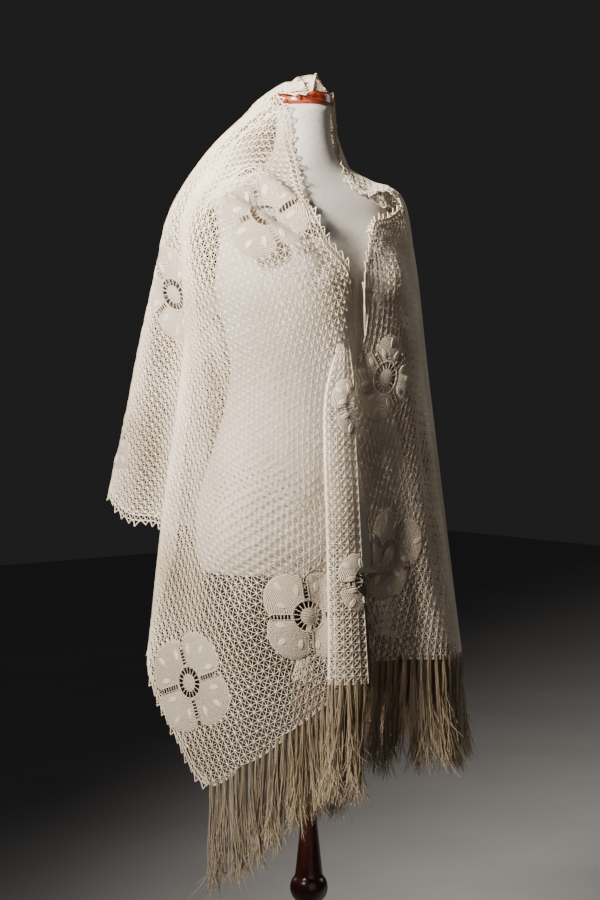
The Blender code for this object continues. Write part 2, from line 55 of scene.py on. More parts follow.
# The dress form's level rings
FORM_RINGS = [
    # height, half_width, front_depth, back_depth, set_back
    (860, 170, 124, 126, 0),
    (885, 177, 129, 133, 0),
    (945, 176, 127, 136, 0),
    (1035, 150, 112, 116, 0),
    (1100, 131, 101, 98, 0),
    (1145, 126, 98, 91, 0),
    (1200, 136, 103, 94, 0),
    (1260, 153, 104, 101, 0),
    (1300, 148, 97, 104, 0),
    (1332, 142, 88, 102, 1),
    (1362, 150, 78, 95, 3),
    (1386, 163, 67, 83, 5),
    (1402, 154, 57, 70, 7),
    (1418, 114, 49, 59, 9),
    (1431, 77, 44, 51, 10),
    (1450, 52, 41, 44, 11),
    (1474, 42, 39, 40, 12),
    (1523, 38.5, 38.5, 38.5, 12),
]
FORM_SIDES = 72
BUST = {"apart": 72, "height": 1272, "spread": 36, "tall": 44, "depth": 26}

# Turned pieces as radius and height from the bottom up
CAP_PROFILE = [(0, 1523.3), (38, 1523.3), (40, 1525), (40.5, 1532), (39.5, 1539), (36.5, 1542), (0, 1542)]
POLE_PROFILE = [
    (0, 46.3), (26, 46.3), (28, 52), (28, 60), (22, 68), (19.5, 80), (19.5, 360), (21, 368),
    (25, 374), (27.5, 382), (27.5, 390), (25, 398), (21, 404), (19.5, 412), (19.5, 859.7), (0, 859.7),
]
BASE_PROFILE = [(0, 0), (184, 0), (188, 4), (188, 14), (180, 24), (150, 32), (90, 38), (60, 46), (0, 46)]
CAP_SET_BACK = 12
TURNED_SIDES = 96

# Rings of radius and height round the neck cap that the cloth stays clear of
CAP_CLEARANCE = ((40.6, 1522), (40.6, 1539), (37, 1542.3))


# Guides of the shawl, from the front opening over the right side and the back to the left front
# Each gives the inner edge, the point where the cloth starts to hang, and the hem
GUIDES = [
    # name, edge, hang and hem each as (across, out, height), rise, draw, waist_in, hip_in
    ("front_edge", (62, 99, 1243), (56, 126, 1124), (52, 128, 699), 0, 0, 0, 0),
    ("front_inner", (52, 114, 1293), (35, 140, 1160), (15, 136, 674), 4, 0, 4, 0),
    ("front_mid", (21, 121, 1329), (-10, 154, 1222), (-34, 152, 635), 6, 0, 5, 0),
    ("front_outer", (-3, 103, 1372), (-65, 150, 1295), (-87, 150, 596), 8, 0, 5, 0),
    ("front_side", (-14, 72, 1411), (-115, 132, 1351), (-142, 124, 563), 12, 0, 4, 0),
    ("fold_front", (-20, 50, 1440), (-142, 112, 1371), (-187, 92, 625), 18, 0, 4, 0),
    ("fold_crest", (-26, 38, 1462), (-156, 92, 1377), (-230, 54, 722), 22, 0, 5, 0),
    ("fold_back", (-29, 36, 1476), (-161, 76, 1379), (-214, -2, 812), 24, 0, 8, 0),
    ("valley", (-30, 36, 1488), (-165, 58, 1382), (-198, -48, 892), 26, 0, 10, 4),
    ("sleeve_inner", (-32, 36, 1498), (-171, 34, 1384), (-226, -88, 914), 30, 0, 4, 0),
    ("sleeve_crest", (-33, 36, 1508), (-194, 4, 1381), (-273, -118, 918), 30, 0, -5, -5),
    ("sleeve_edge", (-35, 32, 1518), (-196, -34, 1380), (-304, -156, 950), 37, 0, -9, -8),
    ("back_outer", (-40, 26, 1529), (-176, -88, 1368), (-290, -226, 930), 50, 0, -7, -5),
    ("back_fold", (-46, 18, 1539), (-132, -118, 1376), (-238, -284, 905), 64, 0, 4, 4),
    ("back_valley", (-32, 33, 1536), (-98, -128, 1384), (-168, -244, 893), 82, 0, 14, 12),
    ("back_centre", (-15, 38, 1535), (-64, -134, 1390), (-106, -286, 872), 96, 0, 4, 0),
    ("back_furrow", (0, 37, 1538), (-32, -140, 1388), (-54, -240, 838), 106, 0, 14, 12),
    ("back_left", (9, 24, 1556), (4, -148, 1384), (-6, -282, 776), 100, 0, 4, 0),
    ("low_corner", (8, 2, 1566), (38, -156, 1378), (42, -264, 716), 80, -8, 10, 8),
    ("side_fold", (24, -20, 1547), (74, -160, 1374), (108, -266, 716), 56, -16, 2, 0),
    ("side_valley", (33, -30, 1538), (98, -160, 1370), (142, -212, 717), 34, -28, 10, 10),
    ("nape_left", (37, -28, 1505), (112, -154, 1366), (170, -210, 717), 20, -34, 2, 0),
    ("neck_left", (42, -22, 1464), (126, -150, 1360), (196, -190, 717), 14, -34, 0, 0),
    ("neck_root", (61, 12, 1405), (138, -142, 1352), (212, -156, 718), 36, -4, 0, 0),
    ("shoulder_back", (85, 6, 1395), (148, -126, 1344), (221, -120, 720), 42, 0, 0, 0),
    ("roll_top", (112, -20, 1402), (152, -102, 1334), (226, -88, 721), 34, 0, 0, 0),
    ("roll_tip", (133, -34, 1385), (150, -66, 1322), (226, -60, 722), 14, 0, 0, 0),
    ("roll_under", (116, -4, 1365), (144, -26, 1290), (224, -34, 723), 4, 0, 0, 0),
    ("left_crest", (92, 44, 1354), (139, 6, 1258), (218, -4, 725), 0, 0, 0, 0),
    ("left_upper", (86, 72, 1329), (122, 50, 1244), (200, 26, 727), 0, 0, 2, 2),
    ("left_mid", (80, 90, 1297), (108, 70, 1215), (168, 46, 730), 0, 0, 4, 4),
    ("left_inner", (76, 98, 1257), (90, 84, 1180), (126, 54, 731), 0, 0, 2, 4),
    ("left_edge", (83, 89, 1178), (52, 104, 1130), (88, 72, 728), 0, 6, 0, 0),
]

FINE_ACROSS = 8
FINE_DOWN = 120

# Sections of the folded inner edge and of the pleat behind it, from the top down
FRONT_FOLD = [
    # height, right_edge, left_fold, front_out, back_out, right_back
    (1182, 60, 46, 146, 141, 6),
    (1120, 60, 24, 157, 145, 14),
    (1040, 63, 21, 161, 146, 18),
    (950, 68, 24, 162, 145, 18),
    (850, 73, 26, 162, 144, 18),
    (780, 77, 27, 162, 143, 18),
    (712, 81, 27, 163, 142, 18),
]
INNER_PLEAT = [
    # height, left, left_out
    (848, 22, 84),
    (800, 4, 74),
    (745, -12, 66),
    (704, -24, 60),
]
# Shares of the fold's columns: its front layer, the turn at its left and its back layer
FOLD_SHARES = {"front": 0.42, "turn": 0.22, "back_from": 0.64, "back": 0.36}
FOLD_GRID = (24, 41)
PLEAT_SEAT = 2.0
PLEAT_BOW = 7
PLEAT_GRID = (12, 13)

# The camera, in degrees and metres
CAMERA = {"azimuth": -40, "far": 3.0, "eye": 1.19, "aimed_at": 1.028, "leftward": 0.0131, "tall_angle": 24.5}

# The studio's lamps, placed by metres toward the camera, to its right and up, and its backdrop
LIGHTS = [
    # name, (nearer, rightward, up), aimed_at_height, watts, size, spread, colour
    ("key", (1.75, -1.6, 2.4), 1.44, 29, 0.6, 50, (1, 0.94, 0.86)),
    ("fill", (2.8, 1.0, 1.5), 1.1, 2.6, 2.2, 120, (1, 0.96, 0.92)),
    ("rim", (-1.2, 2.0, 2.1), 1.1, 2.4, 1.2, 90, (1, 0.98, 0.96)),
    ("back", (-1.8, -1.8, 2.0), 1.1, 2.0, 1.6, 90, (1, 0.98, 0.97)),
]
BACKDROP = (0.018, 0.0172, 0.0176)

# Soft creases of the cloth, each along a line between two places on the shawl
CREASES = [
    # from_guide, from_share, to_guide, to_share, width, depth
    (5.5, 0.105, 1.8, -0.02, 13, -19),
    (5.2, 0.168, 1.9, 0.045, 16, -16),
    (5.2, 0.135, 1.9, 0.012, 7, 8),
    (11.5, 0.02, 9.0, 0.15, 12, 5),
    (13.2, 0.03, 12.6, 0.17, 13, 6),
    (15.5, 0.06, 15.8, 0.22, 12, 5),
    (2.6, 0.14, 1.7, 0.5, 17, 4),
    (4.3, 0.3, 3.3, 0.75, 22, 5),
    (1.2, 0.35, 1.1, 0.9, 14, 4),
    (7.5, 0.22, 7.9, 0.8, 12, 5),
    (10.6, 0.35, 11.2, 0.95, 16, 6),
    (13.4, 0.3, 13.2, 0.85, 15, 6),
    (16.4, 0.45, 16.6, 1.0, 14, 5),
    (19.4, 0.3, 19.2, 0.95, 15, 6),
    (21.6, 0.25, 22.0, 0.8, 13, 5),
    (26.4, 0.2, 26.8, 0.9, 16, 5),
    (28.4, 0.42, 28.9, 0.9, 14, 5),
    (30.2, 0.45, 30.0, 1.0, 14, 5),
]
GUIDE_STEP = 55
GUIDE_LONG = 700

# The two flattened halves of the shawl, which meet at the back, and the way their rows run
HALVES = {
    # name: first_guide, last_guide, trimmed_hem_first, trimmed_hem_last, grain_guide, grain_share, across, up
    "right": (0, 16, 4, 16, 3.2, 0.38, 0.848, 0.53),
    "left": (16, 32, 16, 18, 29.2, 0.6, 1.0, -0.06),
}
CELL = (10.2, 11.4)
THREAD = 0.42
RIDGE = 1.2
KNOT = 1.9
UNEVEN = 0.6
EDGE_BAND = 9.5
SMOOTHING_ROUNDS = 1800
LEAST_AREA = 0.65
FACING_ROUNDS = 8
FLAT_PER_GUIDE = 4
FLAT_DOWN = 30

FLOWERS = [
    # half, guide, share, turn, reach
    ("right", 3.5, 0.084, -0.1, 67),
    ("right", 9.3, 0.485, 0.1, 66),
    ("right", 11.2, 0.87, 0.6, 54),
    ("right", 4.66, 0.884, 0.15, 74),
    ("right", 1.45, 0.775, 0.5, 68),
    ("left", 30.5, 0.268, 0.7, 60),
    ("left", 31.2, 0.7, 0.2, 66),
    ("right", 12.9, 0.55, 0, 62),
    ("left", 22.6, 0.62, 0, 62),
]
FOLD_FLOWERS = [
    # across, down, turn, reach
    (-6, 84, 0.3, 46),
    (-9, 330, 0.1, 48),
]
DISC_RINGS = (0.4, 3.5, 6.5, 9.5, 12.4)
DISC_SIDES = 48
SPOKES = 17
SPOKE_WIDTH = 1.5
SPOKE_ENDS = (11.8, 21.4)
BAND_RINGS = (20.8, 22.4, 24.0)
CHANNEL_WIDTH = 8.0
RUNG_EVERY = 4.6
RUNG_WIDTH = 1.5
RAIL_WIDTH = 1.7
RAIL_LIFT = 1.9
LOBE_PARTS = (22, 20)
LOBE_START = 23.0
LOBE_SHAPE = {"waist": 0.76, "fullness": 0.24, "roundness": 0.8}
LEAF = {"long": 15.5, "wide": 7.6, "tall": 1.4}
LEAF_LIFT = 2.1
LEAVES = [
    # out, off_from_lobe_middle, lean
    (0.6, -25, -14),
    (0.78, 1, 9),
    (0.6, 27, 20),
]

PICOT_EVERY = 15
PICOT_SHAPE = [
    # share, out
    (0.06, -1.0),
    (0.3, 2.4),
    (0.42, 5.8),
    (0.5, 7.2),
    (0.58, 5.8),
    (0.7, 2.4),
    (0.94, -1.0),
]
TRIM_THICK = 0.95
CHAIN_STEP = 4.0
CHAIN_LIFT = 0.9
OUTER_CHAIN_IN = 1.4
EYELET_EVERY = 4.6
EYELET_LIFT = 1.1
TUCK_DEEP = 12.0
TUCK_ROWS = 9

# The rolled edge on the left shoulder, turned in
ROLL_GUIDES = (23.4, 28.4)
ROLL_COLUMNS = 45
ROLL_ROWS = 10
ROLL_DEEP = 30.0
ROLL_BACK = 12.0

LOCK_EVERY = 11.5
ROOT_LIFT = 6.0
STRANDS = 44
STRAND_STEPS = 11
STRAND_SIDES = 3
SHORT_STRANDS = 0.25

# How a lock's strands lie, in millimetres along the hem and away from it
LOCK_ROUND = (3.3, 2.6)
STRAND_DRIFT = (5, 4)
STRAND_CURL = (9, 6)
WAVE_MOST = (3.2, 2.4)
WAVE_LEAST = 0.8
FRINGES = [
    # name, node, first_guide, last_guide, length
    ("right_strands", "fringe_right_front", 0, 4, 150),
    ("side_strands", "fringe_left_side", 18, 24, 165),
    ("left_strands", "fringe_left_front", 24, 32, 165),
    ("fold_strands", "fringe_front_fold", None, None, 165),
    ("pleat_strands", "fringe_inner_pleat", None, None, 190),
]


def world(points):
    """Across, out and height in millimetres to X, Y and Z in millimetres."""
    points = np.asarray(points, float)
    across, out, height = points[..., 0], points[..., 1], points[..., 2]
    x = across * math.cos(TURN) - out * math.sin(TURN)
    y = -across * math.sin(TURN) - out * math.cos(TURN)
    return np.stack([x, y, height], axis=-1)


def spread(values, parts):
    """Rows of points run through smoothly, with this many steps between each pair."""
    gaps = np.linalg.norm(np.diff(values, axis=0), axis=-1, keepdims=True) + 1e-6
    slopes = np.diff(values, axis=0) / gaps
    ends = (slopes[:-1] * gaps[1:] + slopes[1:] * gaps[:-1]) / (gaps[:-1] + gaps[1:])
    ends = np.concatenate([slopes[:1], ends, slopes[-1:]])
    rows = []
    for step in range(parts):
        t = step / parts
        rows.append(
            (2 * t**3 - 3 * t**2 + 1) * values[:-1]
            + (t**3 - 2 * t**2 + t) * gaps * ends[:-1]
            + (-2 * t**3 + 3 * t**2) * values[1:]
            + (t**3 - t**2) * gaps * ends[1:]
        )
    mixed = np.stack(rows, axis=1).reshape(-1, *values.shape[1:])
    return np.concatenate([mixed, values[-1:]])


def way_along(line):
    """How far along a line each of its points lies."""
    return np.concatenate([[0], np.cumsum(np.linalg.norm(np.diff(line, axis=0), axis=1))])


def unit(vectors):
    return vectors / np.linalg.norm(vectors, axis=-1, keepdims=True)


def evenly(line, count):
    """The points of a line at equal steps of its length."""
    way = way_along(line)
    wanted = np.linspace(0, way[-1], count + 1)
    return np.stack([np.interp(wanted, way, line[:, k]) for k in range(3)], axis=1)


def guide_line(row):
    """One guide from the inner edge to the hem."""
    _, edge, hang, hem, rise, draw, waist_in, hip_in = row
    edge, hang, hem = (np.array(p, float) for p in (edge, hang, hem))
    slope = (edge + hang) / 2 + np.array([draw, 0, rise])
    line = [edge, slope, hang]
    for share, inward in ((0.33, waist_in), (0.68, hip_in)):
        point = hang + (hem - hang) * share
        middle = point[:2] / np.linalg.norm(point[:2])
        point[:2] -= middle * inward
        line.append(point)
    line.append(hem)
    return evenly(spread(np.array(line), 12), FINE_DOWN)


def form_points():
    """The form's rings as points in X, Y and height."""
    angles = np.linspace(0, 2 * math.pi, FORM_SIDES, endpoint=False)
    points = []
    for height, half_width, front, back, set_back in spread(np.array(FORM_RINGS, float)[:, None, :], 5)[:, 0]:
        x = half_width * np.cos(angles)
        depth = np.where(np.sin(angles) < 0, front, back)
        y = depth * np.sin(angles) + set_back
        for side in (-1, 1):
            near = ((x - side * BUST["apart"]) / BUST["spread"]) ** 2
            tall = ((height - BUST["height"]) / BUST["tall"]) ** 2
            bump = BUST["depth"] * np.exp(-(near + tall) / 2)
            y = np.where(np.sin(angles) < 0, y - bump * np.minimum(1, -3 * np.sin(angles)), y)
        points.append(np.stack([x, y, np.full_like(x, height)], axis=1))
    return np.array(points)


def ring_faces(rows, columns):
    faces = [
        (r * columns + c, r * columns + (c + 1) % columns, (r + 1) * columns + (c + 1) % columns, (r + 1) * columns + c)
        for r in range(rows - 1)
        for c in range(columns)
    ]
    faces.append(tuple(range(columns))[::-1])
    faces.append(tuple((rows - 1) * columns + c for c in range(columns)))
    return faces


def clearance_tree(form):
    """What the cloth must stay clear of: the form with its neck cap."""
    last = form[-1] - [0, CAP_SET_BACK, 0]
    rings = [form[:-1]]
    for radius, height in CAP_CLEARANCE:
        ring = last / np.linalg.norm(last[:, :2], axis=1, keepdims=True) * radius
        ring[:, 2] = height
        rings.append((ring + [0, CAP_SET_BACK, 0])[None])
    rings = np.concatenate(rings)
    return BVHTree.FromPolygons([Vector(p) for p in rings.reshape(-1, 3)], ring_faces(len(rings), FORM_SIDES))


def kept_clear(points, tree):
    """Points that are nearer to the form than the cloth's gap moved out to it."""
    flat = points.reshape(-1, 3).copy()
    for i, p in enumerate(flat):
        where, normal, _, _ = tree.find_nearest(Vector(p), 90)
        if where is None:
            continue
        outside = (Vector(p) - where).dot(normal)
        if outside < CLEAR:
            flat[i] = where + normal * CLEAR
    return flat.reshape(points.shape)


def normals_of(grid):
    du = np.gradient(grid, axis=0)
    dv = np.gradient(grid, axis=1)
    normal = np.cross(dv, du)
    return normal / (np.linalg.norm(normal, axis=-1, keepdims=True) + 1e-12)


def look_up(grid, u, v):
    """The grid at places between its points."""
    u = np.clip(u, 0, grid.shape[0] - 1.0001)
    v = np.clip(v, 0, grid.shape[1] - 1.0001)
    i, j = u.astype(int), v.astype(int)
    a, b = (u - i)[..., None], (v - j)[..., None]
    return (
        grid[i, j] * (1 - a) * (1 - b)
        + grid[i + 1, j] * a * (1 - b)
        + grid[i, j + 1] * (1 - a) * b
        + grid[i + 1, j + 1] * a * b
    )


def fold_grid(rows, columns):
    """The folded inner edge: its front layer, the fold at its left and its back layer."""
    table = spread(np.array(FRONT_FOLD, float)[:, None, :], 4)[:, 0]
    wanted = np.linspace(0, len(table) - 1, rows)
    table = np.stack([np.interp(wanted, range(len(table)), table[:, k]) for k in range(6)], axis=1)
    grid = []
    for height, right, left, front, back, right_back in table:
        radius = (front - back) / 2
        line = []
        for c in range(columns):
            share = c / (columns - 1)
            if share < FOLD_SHARES["front"]:
                t = share / FOLD_SHARES["front"]
                line.append((right + (left + radius - right) * t, front + 3 * math.sin(math.pi * t), height))
            elif share < FOLD_SHARES["back_from"]:
                angle = (share - FOLD_SHARES["front"]) / FOLD_SHARES["turn"] * math.pi
                bend, bend_out = left + radius, back + radius
                line.append((bend - radius * math.sin(angle), bend_out + radius * math.cos(angle), height))
            else:
                t = (share - FOLD_SHARES["back_from"]) / FOLD_SHARES["back"]
                line.append((left + radius + (right - 10 - left - radius) * t, back, height))
        line = np.array(line)
        line[:, 1] -= right_back * ((line[:, 0] - left) / (right - left)) ** 1.5
        grid.append(line)
    return world(np.array(grid))


def pleat_grid(edge, away, rows, columns):
    """The pleat that runs back from just inside the right front's edge."""
    table = np.array(INNER_PLEAT, float)
    wanted = np.linspace(0, len(table) - 1, rows)
    table = np.stack([np.interp(wanted, range(len(table)), table[:, k]) for k in range(3)], axis=1)
    seat = edge - away * PLEAT_SEAT
    grid = []
    for height, left, left_out in table:
        start = np.array([np.interp(-height, -seat[:, 2], seat[:, k]) for k in range(3)])
        end = world((left, left_out, height))
        across = (end - start) / np.linalg.norm(end - start)
        bow = np.cross(across, [0, 0, 1.0])
        t = np.linspace(0, 1, columns)[:, None]
        grid.append(start + (end - start) * t + bow * PLEAT_BOW * np.sin(2 * math.pi * t) * t)
    return np.array(grid)


def cape_surface(tree):
    """The whole shawl's middle surface with its creases, and its outward normals."""
    lines = np.array([guide_line(row) for row in GUIDES])
    surface = world(spread(lines, FINE_ACROSS))
    normal = -normals_of(surface)
    u, v = np.meshgrid(np.arange(surface.shape[0]) / FINE_ACROSS, np.arange(FINE_DOWN + 1) / FINE_DOWN, indexing="ij")
    place = np.stack([u * GUIDE_STEP, v * GUIDE_LONG], axis=-1)
    for from_guide, from_share, to_guide, to_share, width, depth in CREASES:
        start = np.array([from_guide * GUIDE_STEP, from_share * GUIDE_LONG])
        line = np.array([to_guide * GUIDE_STEP, to_share * GUIDE_LONG]) - start
        along = ((place - start) @ line) / (line @ line)
        nearest = start + np.clip(along, 0, 1)[..., None] * line
        away = np.linalg.norm(place - nearest, axis=-1)
        fade = np.clip(np.sin(np.clip(along, 0.02, 0.98) * math.pi) * 2.2, 0, 1)
        surface = surface - normal * (depth * fade * np.exp(-((away / width) ** 2)))[..., None]
    surface = kept_clear(surface, tree)
    facing = -normals_of(surface)
    for _ in range(FACING_ROUNDS):
        sides = facing[2:, 1:-1] + facing[:-2, 1:-1] + facing[1:-1, 2:] + facing[1:-1, :-2]
        facing[1:-1, 1:-1] = unit(sides)
    return surface, facing


def cross_of(a, b):
    return a[..., 0] * b[..., 1] - a[..., 1] * b[..., 0]


def unfolded(flat, wanted, facing):
    """Opens the quads of a flat grid that have folded over or shrunk to less than their share of area."""
    first, second = flat[1:, 1:] - flat[:-1, :-1], flat[:-1, 1:] - flat[1:, :-1]
    short = np.clip(LEAST_AREA * wanted - facing * cross_of(first, second) / 2, 0, None)
    push = facing / 2 * np.stack([second[..., 1], -second[..., 0]], axis=-1)
    pull = facing / 2 * np.stack([-first[..., 1], first[..., 0]], axis=-1)
    step = (0.25 * short / ((push**2).sum(axis=-1) + (pull**2).sum(axis=-1) + 1e-6))[..., None]
    flat[1:, 1:] += push * step
    flat[:-1, :-1] -= push * step
    flat[:-1, 1:] += pull * step
    flat[1:, :-1] -= pull * step


def flattened(points):
    """A grid of points laid out flat with its lengths kept as far as they can be."""
    rows = np.linalg.norm(np.diff(points, axis=0), axis=2)
    columns = np.linalg.norm(np.diff(points, axis=1), axis=2)
    top, low = rows[:, 0].sum(), rows[:, -1].sum()
    inner = top * columns.sum(axis=1).mean() / max(low - top, 1)
    way = np.concatenate([[0], np.cumsum(rows.mean(axis=1))])
    angle = (way / way[-1] - 0.5) * top / inner
    down = np.concatenate([np.zeros((len(points), 1)), np.cumsum(columns, axis=1)], axis=1)
    radius = inner + down
    flat = np.stack([radius * np.sin(angle)[:, None], -radius * np.cos(angle)[:, None]], axis=-1)
    links = []
    n, m = points.shape[:2]
    for du, dv, stiff in ((1, 0, 1), (0, 1, 1), (1, 1, 1), (1, -1, 1), (2, 0, 1), (0, 2, 1), (4, 0, 0.3)):
        a = (slice(0, n - du), slice(max(0, -dv), m - max(0, dv)))
        b = (slice(du, n), slice(max(0, dv), m + min(0, dv)))
        links.append((a, b, np.linalg.norm(points[a] - points[b], axis=-1), stiff))
    across, along = np.diff(points, axis=0)[:, :-1], np.diff(points, axis=1)[:-1]
    wanted = np.linalg.norm(np.cross(across, along), axis=2)
    facing = np.sign(cross_of(flat[1:, 1:] - flat[:-1, :-1], flat[:-1, 1:] - flat[1:, :-1]).mean())
    for _ in range(SMOOTHING_ROUNDS):
        move = np.zeros_like(flat)
        weight = np.zeros(flat.shape[:2])
        for a, b, length, stiff in links:
            gap = flat[b] - flat[a]
            far = np.linalg.norm(gap, axis=-1)
            pull = gap * ((far - length) / far * 0.5 * stiff)[..., None]
            move[a] += pull
            move[b] -= pull
            weight[a] += stiff
            weight[b] += stiff
        flat += move / weight[..., None] * 1.6
        unfolded(flat, wanted, facing)
    return flat


class Layout:
    """A flat layout of part of the cloth, and where each of its points is on the draped surface."""

    def __init__(self, flat, places, surface, normal):
        n, m = flat.shape[:2]
        self.corners = flat.reshape(-1, 2)
        self.places = places.reshape(-1, 2)
        self.surface, self.normal = surface, normal
        faces = []
        for i in range(n - 1):
            for j in range(m - 1):
                a = i * m + j
                faces += [(a, a + 1, a + m + 1), (a, a + m + 1, a + m)]
        self.faces = np.array(faces)
        self.tree = BVHTree.FromPolygons([Vector((x, y, 0)) for x, y in self.corners], faces)

    def nearest(self, points):
        """The nearest flat points within the cloth, and how far off each one was."""
        out, far = points.copy(), np.zeros(len(points))
        for k, (x, y) in enumerate(points):
            where = self.tree.find_nearest(Vector((x, y, 0)))
            out[k], far[k] = where[0].xy, where[3]
        return out, far

    def draped(self, points, height):
        """Flat points in millimetres put on the draped cloth, this far out, in metres."""
        places = np.empty((len(points), 2))
        for k, (x, y) in enumerate(points):
            where, _, index, _ = self.tree.find_nearest(Vector((x, y, 0)))
            face = self.faces[index]
            a, b, c = self.corners[face]
            s, t = np.linalg.solve(np.array([b - a, c - a]).T, np.array(where.xy) - a)
            places[k] = self.places[face].T @ np.array([1 - s - t, s, t])
        middle = look_up(self.surface, places[:, 0], places[:, 1])
        away = unit(look_up(self.normal, places[:, 0], places[:, 1]))
        return (middle + away * np.asarray(height)[:, None]) * MM

    def area(self):
        a, b, c = (self.corners[self.faces[:, k]] for k in range(3))
        return float(np.abs((b - a)[:, 0] * (c - a)[:, 1] - (b - a)[:, 1] * (c - a)[:, 0]).sum() / 2)

    def size(self):
        return self.corners.max(axis=0) - self.corners.min(axis=0)


def make_half(name, surface, normal):
    """One half of the shawl: the layout of its whole cloth, the layout of its net and its grain."""
    first, last, trim_first, trim_last, grain_guide, grain_share, across, up = HALVES[name]
    us = np.arange(first * FINE_ACROSS, last * FINE_ACROSS + 1, FINE_ACROSS // FLAT_PER_GUIDE)
    vs = np.arange(0, FINE_DOWN + 1, FINE_DOWN // FLAT_DOWN)
    flat = flattened(surface[np.ix_(us, vs)])
    places = np.stack(np.meshgrid(us, vs, indexing="ij"), axis=-1).astype(float)
    net_flat, net_places = flat.copy(), places.copy()
    from_first, to_last = FLAT_PER_GUIDE * (trim_first - first), FLAT_PER_GUIDE * (trim_last - first)
    hem = slice(from_first + (trim_first > first), to_last + (trim_last == last))
    for guides, edge, inside in ((slice(None), 0, 1), (hem, -1, -2)):
        gap = np.linalg.norm(flat[guides, inside] - flat[guides, edge], axis=-1, keepdims=True)
        for layer in (net_flat, net_places):
            layer[guides, edge] += (layer[guides, inside] - layer[guides, edge]) * EDGE_BAND / gap

    def at(guide, share):
        u, v = np.array([guide]), np.array([share])
        here = look_up(flat, (u - first) * FLAT_PER_GUIDE, v * FLAT_DOWN)[0]
        return here, look_up(surface, u * FINE_ACROSS, v * FINE_DOWN)[0]

    ahead, behind = at(grain_guide + 0.15, grain_share), at(grain_guide - 0.15, grain_share)
    low, high = at(grain_guide, grain_share + 0.02), at(grain_guide, grain_share - 0.02)
    solid_steps = np.array([ahead[1] - behind[1], low[1] - high[1]])
    flat_steps = np.array([ahead[0] - behind[0], low[0] - high[0]])
    shares = np.linalg.lstsq(solid_steps.T, world(np.array([across, 0, up])), rcond=None)[0]
    grain = shares @ flat_steps
    return {
        "whole": Layout(flat, places, surface, normal),
        "net": Layout(net_flat, net_places, surface, normal),
        "grain": math.atan2(grain[1], grain[0]),
        "at": at,
    }


def coordinates(mesh):
    flat = np.empty(len(mesh.vertices) * 3)
    mesh.vertices.foreach_get("co", flat)
    return flat.reshape(-1, 3)


def set_coordinates(mesh, points):
    mesh.vertices.foreach_set("co", np.asarray(points, np.float32).ravel())
    mesh.update()


def face_centres(mesh):
    flat = np.empty(len(mesh.polygons) * 3)
    mesh.polygons.foreach_get("center", flat)
    return flat.reshape(-1, 3)


def edit(obj):
    bpy.ops.object.select_all(action="DESELECT")
    obj.select_set(True)
    bpy.context.view_layer.objects.active = obj
    bpy.ops.object.mode_set(mode="EDIT")
    bpy.ops.mesh.select_mode(type="FACE")


def lattice(name, low, high, cell):
    """A grid of cells in flat millimetres, as an object."""
    cells = np.maximum(1, np.round((high - low) / cell)).astype(int)
    bpy.ops.object.select_all(action="DESELECT")
    bpy.ops.mesh.primitive_grid_add(x_subdivisions=int(cells[0]), y_subdivisions=int(cells[1]), size=2)
    obj = bpy.context.object
    obj.name = name
    points = coordinates(obj.data)
    points[:, :2] = low + (points[:, :2] + 1) / 2 * cells * cell
    set_coordinates(obj.data, points)
    return obj


def drop_faces(obj, chosen):
    edit(obj)
    bpy.ops.mesh.select_all(action="DESELECT")
    bpy.ops.object.mode_set(mode="OBJECT")
    obj.data.polygons.foreach_set("select", np.asarray(chosen, bool))
    bpy.ops.object.mode_set(mode="EDIT")
    bpy.ops.mesh.delete(type="FACE")
    bpy.ops.object.mode_set(mode="OBJECT")


def open_net(obj, thread):
    """Pokes every cell and opens each of its triangles, so that the threads are left."""
    edit(obj)
    bpy.ops.mesh.select_all(action="SELECT")
    bpy.ops.mesh.poke()
    bpy.ops.mesh.select_all(action="SELECT")
    bpy.ops.mesh.inset(thickness=thread, use_individual=True, use_even_offset=True)
    bpy.ops.mesh.delete(type="ONLY_FACE")
    bpy.ops.object.mode_set(mode="OBJECT")


def turned_by(points, angle):
    c, s = math.cos(angle), math.sin(angle)
    return points @ np.array([[c, s], [-s, c]])


def lobe_edge(angle, reach):
    """The flower's outline: four full lobes between its channels."""
    full = LOBE_SHAPE["fullness"] * np.abs(np.sin(2 * angle)) ** LOBE_SHAPE["roundness"]
    return reach * (LOBE_SHAPE["waist"] + full)


def make_net(name, half, flowers, seed):
    """The net over one half: a lattice laid along the grain, opened, and put on the cloth."""
    grain, layout = half["grain"], half["net"]
    level = turned_by(layout.corners, -grain)
    obj = lattice(name, level.min(axis=0) - CELL, level.max(axis=0) + CELL, np.array(CELL))
    centres = turned_by(face_centres(obj.data)[:, :2], grain)
    _, far = layout.nearest(centres)
    drop = (far > 0.05) | in_flowers(centres, flowers, grain)
    drop_faces(obj, drop)
    points = coordinates(obj.data)
    level = points[:, :2] + np.random.default_rng(seed).normal(0, UNEVEN, (len(points), 2))
    points[:, :2] = layout.nearest(turned_by(level, grain))[0]
    set_coordinates(obj.data, points)
    knots, cells = len(points), len(obj.data.polygons)
    open_net(obj, THREAD)
    points = coordinates(obj.data)
    set_coordinates(obj.data, layout.draped(points[:, :2], thread_heights(len(points), knots, cells)))
    obj.data.shade_smooth()
    return obj


def in_flowers(points, flowers, grain):
    """Which of these flat points lie well inside a flower."""
    covered = np.zeros(len(points), bool)
    for middle, turn, reach in flowers:
        away = turned_by(points - middle, -grain - turn)
        far, angle = np.linalg.norm(away, axis=1), np.arctan2(away[:, 1], away[:, 0])
        covered |= far < lobe_edge(angle, reach) - 8
    return covered


def thread_heights(count, knots, cells):
    """The first vertices are knots, the next the cells' middles, and the rest the threads' sides."""
    height = np.zeros(count)
    height[:knots] = KNOT
    height[knots : knots + cells] = RIDGE
    return height


